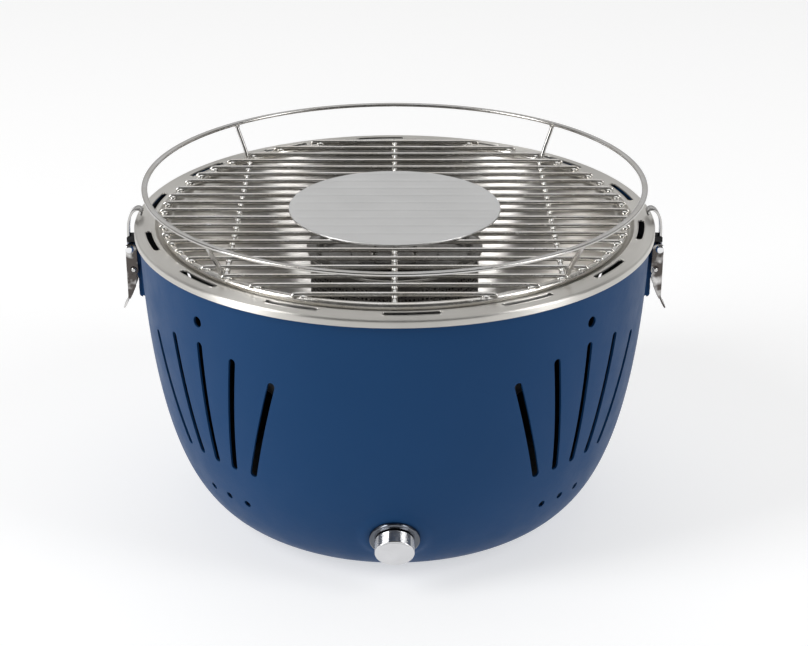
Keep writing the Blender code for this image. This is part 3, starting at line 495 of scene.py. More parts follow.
def tube(path, radius, sides, closed=False, end_steps=3):
    """A round bar along a path: closed in a ring, or open with domed ends."""
    points = [Vector(p) for p in path]
    count = len(points)
    tangents = []
    for i in range(count):
        if closed:
            along = points[(i + 1) % count] - points[i - 1]
        else:
            along = points[min(i + 1, count - 1)] - points[max(i - 1, 0)]
        tangents.append(along.normalized())
    stations = [(p, t, radius) for p, t in zip(points, tangents)]
    if not closed:
        first = []
        last = []
        for k in range(1, end_steps + 1):
            a = math.radians(88 * k / end_steps)
            reach = radius * math.sin(a)
            size = radius * math.cos(a)
            first.append((points[0] - tangents[0] * reach, tangents[0], size))
            last.append((points[-1] + tangents[-1] * reach, tangents[-1], size))
        stations = first[::-1] + stations + last
    side = tangents[0].orthogonal().normalized()
    if abs(tangents[0].z) < 0.9:
        side = tangents[0].cross(Vector((0, 0, 1))).normalized()
    verts = []
    for place, along, size in stations:
        side = (side - along * side.dot(along)).normalized()
        up = along.cross(side)
        for j in range(sides):
            a = math.tau * j / sides
            verts.append(place + side * size * math.cos(a) + up * size * math.sin(a))
    faces = []
    total = len(stations)
    for i in range(total if closed else total - 1):
        for j in range(sides):
            k = (j + 1) % sides
            n = (i + 1) % total
            faces.append((i * sides + j, i * sides + k, n * sides + k, n * sides + j))
    if not closed:
        faces.append(tuple(range(sides))[::-1])
        faces.append(tuple(range((total - 1) * sides, total * sides)))
    return verts, faces


def circle_path(radius, z, steps):
    angles = [math.tau * i / steps for i in range(steps)]
    return [(radius * math.cos(a), radius * math.sin(a), z) for a in angles]


def prism(near, far):
    """A solid between two outlines with the same number of points."""
    count = len(near)
    faces = [tuple(range(count))[::-1], tuple(range(count, 2 * count))]
    faces += [(i, (i + 1) % count, count + (i + 1) % count, count + i) for i in range(count)]
    return near + far, faces


def polar(radius, azimuth, z):
    """A point at an azimuth in degrees from the front (-Y), towards +X."""
    a = math.radians(azimuth)
    return Vector((radius * math.sin(a), -radius * math.cos(a), z))


def ball(centre, radii):
    """A small weld bead: an ellipsoid of few faces."""
    rows = 5
    columns = 8
    verts = [Vector(centre) + Vector((0, 0, radii[2]))]
    for i in range(1, rows):
        b = math.pi * i / rows
        for j in range(columns):
            a = math.tau * j / columns
            x = radii[0] * math.sin(b) * math.cos(a)
            y = radii[1] * math.sin(b) * math.sin(a)
            verts.append(Vector(centre) + Vector((x, y, radii[2] * math.cos(b))))
    verts.append(Vector(centre) - Vector((0, 0, radii[2])))
    faces = []
    for j in range(columns):
        k = (j + 1) % columns
        faces.append((0, 1 + j, 1 + k))
        for i in range(rows - 2):
            a = 1 + i * columns
            faces.append((a + j, a + columns + j, a + columns + k, a + k))
        last = 1 + (rows - 2) * columns
        faces.append((last + j, len(verts) - 1, last + k))
    return verts, faces


def evaluated_mesh(obj):
    """A new mesh with the object's modifiers or curve settings worked in."""
    bpy.context.view_layer.update()
    graph = bpy.context.evaluated_depsgraph_get()
    return bpy.data.meshes.new_from_object(obj.evaluated_get(graph))


def cut_with(obj, name, shells):
    """Cuts the shells out of a piece and smooths it again."""
    tool = bpy.data.objects.new(name, mesh_from(name, shells))
    SCENE.collection.objects.link(tool)
    step = obj.modifiers.new("cut", "BOOLEAN")
    step.solver = "EXACT"
    step.object = tool
    mesh = evaluated_mesh(obj)
    old = obj.data
    obj.modifiers.clear()
    obj.data = mesh
    bpy.data.meshes.remove(old)
    smooth(mesh, SMOOTH_ANGLE)
    bpy.data.objects.remove(tool, do_unlink=True)


def plate(name, outlines, half, bevel, y=0.0):
    """Outlines in the XZ plane, extruded along Y with rounded edges, as a shell."""
    curve = bpy.data.curves.new(name, "CURVE")
    curve.dimensions = "2D"
    curve.fill_mode = "BOTH"
    curve.extrude = half - bevel
    curve.bevel_depth = bevel
    curve.bevel_resolution = 1
    curve.offset = -bevel
    for points in outlines:
        spline = curve.splines.new("POLY")
        spline.points.add(len(points) - 1)
        spline.use_cyclic_u = True
        for point, (a, b) in zip(spline.points, points):
            point.co = (a, b, 0.0, 1.0)
    holder = bpy.data.objects.new(name, curve)
    SCENE.collection.objects.link(holder)
    mesh = evaluated_mesh(holder)
    bpy.data.objects.remove(holder, do_unlink=True)
    mesh.transform(Matrix.Translation((0.0, y, 0.0)) @ Matrix.Rotation(math.radians(90), 4, "X"))
    bm = bmesh.new()
    bm.from_mesh(mesh)
    bmesh.ops.remove_doubles(bm, verts=bm.verts, dist=1e-7)
    bmesh.ops.recalc_face_normals(bm, faces=bm.faces)
    verts = [v.co.copy() for v in bm.verts]
    bm.verts.index_update()
    faces = [tuple(v.index for v in f.verts) for f in bm.faces]
    bm.free()
    bpy.data.meshes.remove(mesh)
    return verts, faces


def placed(shell, matrix):
    verts, faces = shell
    return [matrix @ Vector(v) for v in verts], faces


# ---------------------------------------- outer bowl

RIM_Z = 204 * MM
RIM_R = 175.2 * MM
GAP = 0.3 * MM
SHEET = 1 * MM
BOWL_R = 172 * MM
BOWL_ROUND_DEPTH = 210 * MM
BOWL_FLOOR_Z = 4 * MM
BOWL_FLOOR_R = 98 * MM  # of the opening for the base plate
BOWL_WALL = 1.5 * MM
SLOT_GROUPS = (46, 134, 226, 314)  # azimuths
SLOT_HALF = 2.6 * MM
SLOT_LOW_DEPTH = 129 * MM
SLOT_TOP_DEPTHS = (40 * MM, 43 * MM, 52.7 * MM)  # the middle slot, its neighbours, the outer ones
SLOT_LOW_STEP = 5.7  # degrees from slot to slot at their lower ends
SLOT_TOP_STEP = 9.8
VENT_DEPTH = 26 * MM
VENT_R = 3.7 * MM
SMALL_HOLE_DEPTH = 157.3 * MM
SMALL_HOLE_R = 2.6 * MM
SMALL_HOLE_STEP = 6.5
KNOB_DEPTH = 164 * MM
KNOB_HOLE_R = 5.4 * MM
SEAT_FLAT_R = 18.5 * MM
SEAT_EDGE_R = 24 * MM
SEAT_LIFT = 0.15 * MM


def bowl_radius(depth):
    """The outside's radius at a depth below the rim: wide and straight first, then round."""
    return BOWL_R * (1 - (depth / BOWL_ROUND_DEPTH) ** 1.9) ** (1 / 6.7)


def surface_point(azimuth, depth):
    return polar(bowl_radius(depth), azimuth, RIM_Z - depth)


def knob_matrix():
    """A frame on the bowl's surface at the knob, with Z pointing out."""
    slope = (bowl_radius(KNOB_DEPTH - MM) - bowl_radius(KNOB_DEPTH + MM)) / (2 * MM)
    out = Vector((0.0, -1.0, -slope)).normalized()
    turn = out.to_track_quat("Z", "X").to_matrix().to_4x4()
    return Matrix.Translation(surface_point(0, KNOB_DEPTH)) @ turn


def slot_bars():
    """Round-ended bars through the bowl, one for each air slot."""
    shells = []
    half = SLOT_HALF
    reach = 14 * MM
    for group in SLOT_GROUPS:
        for index in range(-2, 3):
            low = surface_point(group + index * SLOT_LOW_STEP, SLOT_LOW_DEPTH)
            high = surface_point(group + index * SLOT_TOP_STEP, SLOT_TOP_DEPTHS[abs(index)])
            out = Vector((low.x + high.x, low.y + high.y, 0.0)).normalized()
            up = (high - low).normalized()
            side = out.cross(up).normalized()
            out = up.cross(side)
            span = (high - low).length / 2 - half
            outline = arc((0, span), half, 0, 180, 8) + arc((0, -span), half, 180, 360, 8)
            middle = (low + high) / 2
            near = [middle + side * x + up * y - out * reach for x, y in outline]
            far = [middle + side * x + up * y + out * reach for x, y in outline]
            shells.append(prism(near, far))
    return shells


def hole_bars():
    """Round bars through the bowl: a vent above and three small holes below each group, the knob's hole."""
    reach = 9 * MM
    bars = []
    for group in SLOT_GROUPS:
        spots = [(group, VENT_DEPTH, VENT_R)]
        spots += [(group + index * SMALL_HOLE_STEP, SMALL_HOLE_DEPTH, SMALL_HOLE_R) for index in (-1, 0, 1)]
        for azimuth, depth, radius in spots:
            middle = surface_point(azimuth, depth)
            out = polar(reach, azimuth, 0.0)
            bars.append((middle - out, middle + out, radius))
    place = knob_matrix()
    bars.append((place @ Vector((0, 0, -reach)), place @ Vector((0, 0, reach)), KNOB_HOLE_R))
    return [tube([start, end], radius, 24, end_steps=1) for start, end, radius in bars]


def press_knob_seat(mesh):
    """Presses a flat round seat into the wall under the knob's bezel."""
    place = knob_matrix()
    back = place.inverted()
    for vert in mesh.vertices:
        local = back @ vert.co
        reach = math.hypot(local.x, local.y)
        if reach > SEAT_EDGE_R or local.z < -12 * MM:
            continue
        share = 1 - min(1, max(0, (reach - SEAT_FLAT_R) / (SEAT_EDGE_R - SEAT_FLAT_R)))
        share = share * share * (3 - 2 * share)
        local.z += (SEAT_LIFT - surface_height(local, place)) * share
        vert.co = place @ local


def surface_height(local, place):
    """How far the bowl's outside lies over the knob plane at a place, by a few steps."""
    z = 0.0
    for _ in range(4):
        point = place @ Vector((local.x, local.y, z))
        z -= math.hypot(point.x, point.y) - bowl_radius(RIM_Z - point.z)
    return z


def make_outer_bowl():
    """Painted outside, near-black inside as painted shade, with the slots and holes cut through."""
    rows = 90
    top = SHEET + GAP
    bottom = RIM_Z - BOWL_FLOOR_Z
    points = []
    for i in range(rows + 1):
        depth = top + (bottom - top) * math.sin(math.radians(90 * i / rows))
        points.append((bowl_radius(depth), RIM_Z - depth))
    edge_r = points[-1][0]
    points += [(edge_r - (edge_r - BOWL_FLOOR_R) * k / 6, BOWL_FLOOR_Z) for k in range(1, 7)]
    mesh = mesh_from("outer_bowl_skin", [lathe(sheet_loop(points, -BOWL_WALL), 360)])
    press_knob_seat(mesh)
    bowl = link_object("outer_bowl_skin", mesh, "bowl_paint")
    # second material: the near-black painted shade on the bowl's inside faces
    mesh.materials.append(MATS["bowl_inside_shade"])
    for face in mesh.polygons:
        depth = RIM_Z - face.center.z
        reach = math.hypot(face.center.x, face.center.y)
        inside = depth > 4 * MM and reach < bowl_radius(min(depth, bottom)) - 1 * MM
        face.material_index = 1 if inside and face.center.z > BOWL_FLOOR_Z + 1 * MM else 0
    cut_with(bowl, "air_slot_bars", slot_bars())
    cut_with(bowl, "hole_bars", hole_bars())
    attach(bowl, "housing")
    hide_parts("outer_bowl")


# ---------------------------------------- inner bowl

FLANGE_INNER_R = 160.8 * MM
FLANGE_CROWN = 0.25 * MM
FLANGE_LIP = 1.8 * MM  # radius of the rolled outer edge
FLANGE_SLOTS = 14
FLANGE_SLOT_R = 166 * MM
FLANGE_SLOT_HALF = 2.2 * MM
FLANGE_SLOT_REACH = 6.3  # degrees from a slot's middle to its end
FLANGE_SLOT_FIRST = 3.6  # azimuth
STEP_R = 156 * MM  # the step under the flange that the grate stands on
STEP_Z = RIM_Z - 2.4 * MM
WALL_TOP_R = 148 * MM
WALL_LOW_R = 90 * MM
WALL_BULGE = 0.4  # share of a quarter ellipse in the wall; the rest is a cone
INNER_FLOOR_Z = 92 * MM
AIR_HOLE_R = 24 * MM


def flange_slot_outline(index, half):
    """A curved slot with round ends."""
    steps = 14
    middle = FLANGE_SLOT_FIRST + 360 * index / FLANGE_SLOTS - 90
    reach = FLANGE_SLOT_REACH - math.degrees(FLANGE_SLOT_HALF / FLANGE_SLOT_R)
    outer = arc((0, 0), FLANGE_SLOT_R + half, middle - reach, middle + reach, steps)
    inner = arc((0, 0), FLANGE_SLOT_R - half, middle + reach, middle - reach, steps)
    caps = []
    for angle, start in ((middle + reach, 0), (middle - reach, 180)):
        a = math.radians(angle)
        centre = (FLANGE_SLOT_R * math.cos(a), FLANGE_SLOT_R * math.sin(a))
        caps.append(arc(centre, half, angle + start, angle + start + 180, 6)[1:-1])
    return outer + caps[0] + inner + caps[1]


def make_inner_flange():
    """The slotted flange that hangs on the outer bowl's edge, and the rounded edges of its slots."""
    lip = FLANGE_LIP
    points = [(RIM_R - 0.5 * MM, RIM_Z - 5.6 * MM), (RIM_R, RIM_Z - 5.1 * MM)]
    points += [(r, z - FLANGE_CROWN) for r, z in arc((RIM_R - lip, RIM_Z - lip), lip, 0, 90, 8)]
    span = RIM_R - lip - FLANGE_INNER_R - 0.8 * MM
    points += [(RIM_R - lip - span * k / 8, RIM_Z - FLANGE_CROWN * (2 * k / 8 - 1) ** 2) for k in range(1, 9)]
    points += arc((FLANGE_INNER_R + 0.8 * MM, RIM_Z - FLANGE_CROWN - 0.8 * MM), 0.8 * MM, 100, 150, 4)
    points += [(159.3 * MM, RIM_Z - 2.2 * MM), (158.8 * MM, STEP_Z), (STEP_R, STEP_Z)]
    mesh = mesh_from("inner_bowl_flange", [lathe(sheet_loop(points, SHEET), 336)])
    flange = link_object("inner_bowl_flange", mesh, "inner_steel", finish="flange_steel")
    bars = []
    edges = []
    for index in range(FLANGE_SLOTS):
        outline = flange_slot_outline(index, FLANGE_SLOT_HALF)
        bars.append(prism([(x, y, RIM_Z - 4 * MM) for x, y in outline],
                          [(x, y, RIM_Z + 4 * MM) for x, y in outline]))
        edge = flange_slot_outline(index, FLANGE_SLOT_HALF + 0.15 * MM)
        edges.append(tube([(x, y, RIM_Z - 0.15 * MM) for x, y in edge], 0.42 * MM, 8, closed=True))
    cut_with(flange, "flange_slot_bars", bars)
    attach(flange, "housing")
    add_piece("flange_slot_edges", edges, "inner_steel", "housing", finish="flange_steel")


def make_inner_bowl():
    """The step under the flange, the wall and the floor round the air hole."""
    points = [(STEP_R, STEP_Z), (151.9 * MM, STEP_Z)]
    points += arc((151.5 * MM, STEP_Z - 1.2 * MM), 1.2 * MM, 95, 150, 3)
    wall_top = STEP_Z - 3 * MM
    for i in range(37):
        a = math.radians(90 * i / 36)
        spread = WALL_BULGE * math.cos(a) + (1 - WALL_BULGE) * (1 - math.sin(a))
        points.append((WALL_LOW_R + (WALL_TOP_R - WALL_LOW_R) * spread,
                       wall_top - (wall_top - INNER_FLOOR_Z) * math.sin(a)))
    points += [(WALL_LOW_R - (WALL_LOW_R - AIR_HOLE_R) * k / 8, INNER_FLOOR_Z) for k in range(1, 9)]
    shells = [lathe(sheet_loop(points, SHEET), 336)]
    add_piece("inner_bowl_skin", shells, "inner_steel", "housing", "inner_bowl")


# ---------------------------------------- grate

ROD_Z = RIM_Z + 3.9 * MM
ROD_R = 1.6 * MM
CROSS_R = 1.9 * MM
CROSS_Z = ROD_Z - 2.9 * MM
ROD_PITCH = 14.53 * MM
ROD_END_R = 158 * MM
BASE_WIRE_R = 2.5 * MM
BASE_RING_R = 155.5 * MM
BASE_RING_Z = STEP_Z + GAP + BASE_WIRE_R
CROSS_XS = (-105 * MM, 0.0, 105 * MM)
RING_R = 166.9 * MM
RING_Z = RIM_Z + 26 * MM
PLATE_R = 71.5 * MM
PLATE_THICKNESS = 1.2 * MM
STRUT_R = 1.5 * MM
STRUT_AZIMUTHS = (43.9, 136.1, 223.9, 316.1)
CROSS_BEAD = (2.4 * MM, 3.1 * MM, 1.5 * MM)  # weld beads' half sizes
END_BEAD = (3.2 * MM, 2.5 * MM, 1.4 * MM)


def rod_ys():
    return [i * ROD_PITCH for i in range(-10, 11)]


def make_grate_grid():
    """Rods with bent-down ends on a base ring; cross bars and weld beads in a brighter finish that paints in
    their glints.
    """
    shells = []
    welds = []
    drop = [(12.0, 0.0), (3.0, 0.1), (1.4, 0.3), (0.5, 0.7)]
    for y in rod_ys():
        half = math.sqrt(ROD_END_R ** 2 - y ** 2)
        right = [(half - a * MM, y, ROD_Z - b * MM) for a, b in drop]
        left = [(-x, y, z) for x, _, z in right][::-1]
        shells.append(tube(left + right, ROD_R, 16))
    for x in CROSS_XS:
        half = math.sqrt(BASE_RING_R ** 2 - x ** 2)
        welds.append(tube([(x, -half, CROSS_Z), (x, half, CROSS_Z)], CROSS_R, 16))
        for y in rod_ys():
            if abs(y) < half - 2 * MM:
                welds.append(ball((x, y, ROD_Z - 1.3 * MM), CROSS_BEAD))
    for y in rod_ys():
        reach = math.sqrt(BASE_RING_R ** 2 - y ** 2)
        for x in (-reach, reach):
            welds.append(ball((x, y, ROD_Z - 1.0 * MM), END_BEAD))
    shells.append(tube(circle_path(BASE_RING_R, BASE_RING_Z, 256), BASE_WIRE_R, 16, closed=True))
    add_piece("grate_grid_wires", shells, "grate_steel", "grate", "grate_grid", WIRE_ANGLE)
    # the welds and cross bars take the brighter copy: painted glints
    add_piece("grate_grid_welds", welds, "grate_steel", "grate", None, WIRE_ANGLE, "glint_steel")


def make_grate_plate():
    """Round plate, faintly waved between the rods that it lies on."""
    low = ROD_Z + ROD_R + GAP
    high = low + PLATE_THICKNESS
    edge = 0.5 * MM
    radii = [PLATE_R * k / 72 for k in range(72)]
    loop = [(r, high) for r in radii] + arc((PLATE_R - edge, high - edge), edge, 90, 0, 4)
    loop += [(PLATE_R, low), (0.0, low)]
    verts, faces = lathe(loop, 240)
    groove = 0.2 * MM
    width = 1.3 * MM
    shaped = []
    for x, y, z in verts:
        if z > high - 0.01 * MM and math.hypot(x, y) < PLATE_R - 2.5 * MM:
            near = min(abs(y - rod_y - ROD_PITCH / 2) for rod_y in rod_ys())
            z -= groove * math.exp(-(near / width) ** 2)
        shaped.append((x, y, z))
    add_piece("grate_disc", [(shaped, faces)], "plate_steel", "grate", "grate_plate")


def make_raised_ring():
    """Flat wire with rounded edges."""
    half_w = 2 * MM
    half_h = 1.1 * MM
    soft = 0.9 * MM
    loop = []
    for sx, sz, start in ((1, 1, 90), (1, -1, 0), (-1, -1, -90), (-1, 1, -180)):
        centre = (RING_R + sx * (half_w - soft), RING_Z + sz * (half_h - soft))
        loop += arc(centre, soft, start, start - 90, 4)
    shells = [lathe(loop, 288)]
    # the raised ring wears the darker wire copy: painted shade
    add_piece("raised_ring_wire", shells, "grate_steel", "grate", "raised_ring", WIRE_ANGLE, "ring_wire_shaded")


def make_struts():
    """Four wires that rise from the base ring to the raised ring."""
    for number, azimuth in enumerate(STRUT_AZIMUTHS, start=1):
        out = polar(1.0, azimuth, 0.0)
        bends = [(BASE_RING_R, BASE_RING_Z + 1.6 * MM), (BASE_RING_R + 0.3 * MM, ROD_Z + 0.5 * MM),
                 (BASE_RING_R + 2 * MM, ROD_Z + 5 * MM), (RING_R - 2.6 * MM, RING_Z - 5 * MM),
                 (RING_R - 0.9 * MM, RING_Z - 1.4 * MM)]
        path = [out * r + Vector((0.0, 0.0, z)) for r, z in smooth_chain(bends, 4)]
        shells = [tube(path, STRUT_R, 14), ball(path[-1], (2.3 * MM, 2.3 * MM, 1.1 * MM))]
        shells.append(ball(path[0], (2.6 * MM, 2.6 * MM, 1.4 * MM)))
        # the struts wear the darker wire copy: painted shade
        add_piece(f"strut_wire_{number}", shells, "grate_steel", "grate", f"strut_{number}", WIRE_ANGLE,
                  "ring_wire_shaded")


# ---------------------------------------- basket

BASKET_R = 57.5 * MM
BASKET_LOW = 92.3 * MM
BASKET_HIGH = 178 * MM
BASKET_BAND = 5 * MM  # plain band above and below the mesh
BASKET_RIM_R = 1.8 * MM
LID_TOP = 183 * MM
LID_WELL = 176.5 * MM
LID_SHEET = 0.8 * MM


def perforated_wall(radius, thickness, low, high, columns, rows, hole):
    """A tube wall of square cells, each with an eight-sided hole, inside and outside joined."""
    verts = []
    faces = []
    lookup = {}

    def point(column, height, depth):
        key = (round(column % columns, 4), round(height, 7), depth)
        if key not in lookup:
            a = math.tau * key[0] / columns
            r = radius - depth
            lookup[key] = len(verts)
            verts.append((r * math.cos(a), r * math.sin(a), height))
        return lookup[key]

    step = (high - low) / rows
    wide = hole / (math.tau * radius / columns)
    corners = [(1, 0), (1, 1), (0, 1), (-1, 1), (-1, 0), (-1, -1), (0, -1), (1, -1)]
    for i in range(columns):
        for j in range(rows):
            middle = low + (j + 0.5) * step
            square = [(i + 0.5 * (1 + cx), middle + 0.5 * cz * step) for cx, cz in corners]
            ring = []
            for k in range(8):
                a = math.tau * k / 8
                ring.append((i + 0.5 + wide * math.cos(a), middle + hole * math.sin(a)))
            for k in range(8):
                n = (k + 1) % 8
                for depth in (0.0, thickness):
                    faces.append((point(*square[k], depth), point(*square[n], depth),
                                  point(*ring[n], depth), point(*ring[k], depth)))
                faces.append((point(*ring[k], 0.0), point(*ring[n], 0.0),
                              point(*ring[n], thickness), point(*ring[k], thickness)))
    for height in (low, high):
        for i in range(columns):
            for a, b in ((i, i + 0.5), (i + 0.5, i + 1)):
                faces.append((point(a, height, 0.0), point(b, height, 0.0),
                              point(b, height, thickness), point(a, height, thickness)))
    return verts, faces


def make_basket():
    """Perforated wall between two plain bands, with a rolled rim."""
    low = BASKET_LOW
    high = BASKET_HIGH
    overlap = 0.05 * MM
    outer = BASKET_R + 0.02 * MM
    inner = BASKET_R - SHEET - 0.02 * MM
    shells = [perforated_wall(BASKET_R, SHEET, low + BASKET_BAND, high - BASKET_BAND, 124, 26, 0.86 * MM)]
    for bottom, top in ((low, low + BASKET_BAND + overlap), (high - BASKET_BAND - overlap, high)):
        shells.append(lathe([(outer, top), (outer, bottom), (inner, bottom), (inner, top)], 156))
    # the wall's dark steel is painted shade
    add_piece("basket_mesh_wall", shells, "basket_steel", "basket", "basket_wall")
    rim = tube(circle_path(BASKET_R, high + GAP + BASKET_RIM_R, 160), BASKET_RIM_R, 14, closed=True)
    # the rim's brighter finish paints the highlight arcs round the lid
    add_piece("basket_rolled_rim", [rim], "grate_steel", "basket", "basket_rim", finish="glint_steel")


def make_basket_lid():
    """Pressed lid with a sunk middle, one raised ring and a wire handle."""
    top = LID_TOP
    well = LID_WELL
    points = [(60.0 * MM, top - 0.5 * MM), (59.6 * MM, top), (53.4 * MM, top), (52.5 * MM, top - 0.5 * MM),
              (51.6 * MM, top - 2 * MM), (50.6 * MM, well + 1 * MM), (49.6 * MM, well)]
    points += [(r * MM, well) for r in (40, 30, 29.4, 24, 23.4, 12, 0)]
    shaped = [(r, z + (0.6 * MM if 23 * MM < r < 29.5 * MM else 0.0)) for r, z in points]
    loop = shaped + [(r, z - LID_SHEET) for r, z in shaped[::-1]]
    shells = [lathe(loop, 160)]
    # dark lid finish: painted shadow under the plate
    add_piece("basket_pressed_lid", shells, "basket_steel", "lid", "basket_lid", finish="lid_steel_shadowed")
    path = [(-14, well / MM + 0.4), (-14, 179.5)]
    path += arc((-10.6, 181.4), 3.4, 180, 90, 5)
    path += arc((10.6, 181.4), 3.4, 90, 0, 5)
    path += [(14, 179.5), (14, well / MM + 0.4)]
    shells = [tube([(x * MM, 0.0, z * MM) for x, z in path], 1.2 * MM, 12)]
    shells += [ball((x * MM, 0.0, well + 0.5 * MM), (2.4 * MM, 2.4 * MM, 0.7 * MM)) for x in (-14, 14)]
    add_piece("lid_wire_handle", shells, "grate_steel", "lid", "lid_handle", WIRE_ANGLE)


# ---------------------------------------- latches

LEVER_PIVOT = (180, 182.2)  # distance from Z and height in mm, on the bracket
STRAP_PIVOT = (178, 166.8)  # the strap's pin, on the lever at rest
PIN_BORE = 1.75
CHEEK_MID = 6.15 * MM


def in_mm(points):
    """Points given in millimetres, in metres."""
    return [(x * MM, z * MM) for x, z in points]


def side_matrix(side, pivot):
    """From a pivot's own frame to the right side, or mirrored to the left."""
    flip = Matrix.Diagonal((side, 1.0, 1.0, 1.0))
    return flip @ Matrix.Translation((pivot[0] * MM, 0.0, pivot[1] * MM))


def turned_pin(points):
    """A turned pin along Y: points are (radius, y)."""
    verts, faces = lathe(points, 28)
    return [Vector((x, z, y)) for x, y, z in verts], faces


def make_bracket(side, tag):
    """Two ears on a base plate that follows the bowl's wall."""
    face = -5.4
    ear = [(face - 1.2, 2.8), (face, 3.0), (-2, 3.0)]
    ear += arc((0, 0), 3.0, 100, -95, 12)
    ear += [(-1.4, -6), (-2.6, -12), (face + 0.4, -22), (face + 0.4, -33)]
    ear += arc((face - 1.8, -33.4), 2.2, 0, -90, 5)
    ear += [(face - 1.9, -35.6), (face - 1.9, -10)]
    hole = arc((0, 0), PIN_BORE, 0, 345, 23)
    shells = []
    for y in (-4.7, 4.7):
        shells.append(plate("ear", [in_mm(ear), in_mm(hole)], 0.55 * MM, 0.2 * MM, y * MM))
    place = side_matrix(side, LEVER_PIVOT)
    shells = [placed(shell, place) for shell in shells]
    depth_top = RIM_Z - (LEVER_PIVOT[1] + 3) * MM
    depth_bottom = RIM_Z - (LEVER_PIVOT[1] - 35.6) * MM
    rows = 30
    columns = 16
    verts = []
    for on_bowl in (False, True):
        for i in range(rows + 1):
            depth = depth_top + (depth_bottom - depth_top) * i / rows
            fullness = min(1.0, (rows - i) / 2.5) ** 0.5
            for j in range(columns + 1):
                y = (-5.25 + 10.5 * j / columns) * MM
                wall = math.sqrt((bowl_radius(depth) + GAP) ** 2 - y ** 2)
                x = wall if on_bowl else max(wall + 0.6 * MM, wall + (174.6 * MM - wall) * fullness)
                verts.append(Vector((side * x, y, RIM_Z - depth)))
    faces = []
    width = columns + 1
    back = (rows + 1) * width
    for i in range(rows):
        for j in range(columns):
            a = i * width + j
            faces.append((a, a + 1, a + width + 1, a + width))
            faces.append((back + a, back + a + width, back + a + width + 1, back + a + 1))
        a = i * width
        faces.append((a, a + width, back + a + width, back + a))
        a += columns
        faces.append((a, back + a, back + a + width, a + width))
    for j in range(columns):
        faces.append((j, back + j, back + j + 1, j + 1))
        a = rows * width + j
        faces.append((a, a + 1, back + a + 1, back + a))
    shells.append((verts, faces))
    add_piece(f"bracket_{tag}", shells, "bowl_paint", "housing", f"latch_bracket_{tag}")


def make_lever(side, tag):
    """Two cheeks, a face with a pressed bead and a flared tail, bosses round the pins, the strap's pin."""
    eye = (STRAP_PIVOT[0] - LEVER_PIVOT[0], STRAP_PIVOT[1] - LEVER_PIVOT[1])
    cheek = [(-5.0, 0.6), (-4.7, 1.9), (-3.8, 2.9), (-2.4, 3.5), (-1.0, 3.6), (0.6, 3.5), (1.8, 2.9)]
    cheek += [(2.5, 1.9), (2.7, 0.8), (2.7, -12), (2.7, -24), (2.7, -35.6), (1.4, -36.9), (-0.4, -33.6),
              (-3.0, -27.4)]
    cheek += arc(eye, 3.4, 235, 165, 5)
    cheek += [(-5.1, -8)]
    holes = [arc(centre, PIN_BORE, 0, 345, 23) for centre in ((0, 0), eye)]
    outlines = [in_mm(cheek)] + [in_mm(h) for h in holes]
    shells = [plate("cheek", outlines, 0.5 * MM, 0.2 * MM, y * CHEEK_MID) for y in (-1, 1)]
    face_top = eye[1] - 6.5
    outer = [(2.7, face_top), (2.7, -28), (2.7, -34.6), (3.1, -36.8), (4.2, -39.4), (5.4, -41.6),
             (6.4, -43.2)]
    inner = offset(outer, -1.1)
    outline = in_mm(outer + [(6.0, -43.8)] + inner[::-1][:-1] + [(1.6, face_top)])
    shells.append(plate("face", [outline], 6.5 * MM, 0.35 * MM))
    bead = [(2.8, face_top - 3), (3.2, face_top - 4), (3.2, -32), (2.8, -33), (2.3, -32), (2.3, face_top - 4)]
    shells.append(plate("bead", [in_mm(bead)], 2.2 * MM, 0.2 * MM))
    for y in (-1, 1):
        for centre in ((0, 0), eye):
            boss = [(PIN_BORE, 6.55), (2.7, 6.55), (2.7, 6.75), (2.4, 6.95), (PIN_BORE, 6.95)]
            ring = turned_pin([(r * MM, y * v * MM) for r, v in boss])
            shells.append(placed(ring, Matrix.Translation((centre[0] * MM, 0, centre[1] * MM))))
    place = side_matrix(side, LEVER_PIVOT)
    shells = [placed(shell, place) for shell in shells]
    add_piece(f"lever_{tag}_pressing", shells, "latch_chrome", f"lever_{tag}", f"latch_lever_{tag}",
              finish="lever_steel")
    pin = [(0, -7.3), (1.2, -7.3), (1.5, -7.0), (1.5, 7.0), (1.2, 7.3), (0, 7.3)]
    shells = [placed(turned_pin(in_mm(pin)), side_matrix(side, STRAP_PIVOT))]
    add_piece(f"strap_pin_{tag}_turned", shells, "latch_chrome", f"lever_{tag}", f"strap_pin_{tag}")


def make_pins(side, tag):
    """Domed heads of the lever's two stub pins."""
    points = [(0, 7.8), (1.6, 7.75), (2.5, 7.45), (2.9, 7.15), (2.9, 7.05), (1.5, 7.0), (1.5, 4.2), (0, 4.2)]
    for place, flip in (("front", -1), ("back", 1)):
        shell = turned_pin([(r * MM, flip * y * MM) for r, y in points])
        shells = [placed(shell, side_matrix(side, LEVER_PIVOT))]
        add_piece(f"pin_{tag}_{place}_head", shells, "latch_chrome", "housing", f"latch_pin_{tag}_{place}",
                  finish="pin_chrome")


def make_strap(side, tag):
    """Strip that hooks over the flange and closes in an eye round the lever's pin."""
    bends = [(171.7, 205.4), (170.9, 207.2), (171.8, 208.9), (174.0, 209.4), (176.8, 207.7),
             (179.2, 203.4), (180.4, 197), (180.6, 188), (180.3, 178), (179.6, 169.8)]
    chain = [(x - STRAP_PIVOT[0], z - STRAP_PIVOT[1]) for x, z in smooth_chain(bends, 5)]
    outline = offset(chain, -0.85)[:-1] + arc((0, 0), 2.9, 100, 390, 22) + offset(chain, 0.85)[::-1][1:]
    bore = arc((0, 0), 1.85, 0, 345, 23)
    shell = plate("strap", [in_mm(outline), in_mm(bore)], 3.5 * MM, 0.3 * MM)
    shells = [placed(shell, side_matrix(side, STRAP_PIVOT))]
    add_piece(f"strap_{tag}_spring", shells, "latch_chrome", f"strap_{tag}", f"latch_strap_{tag}")


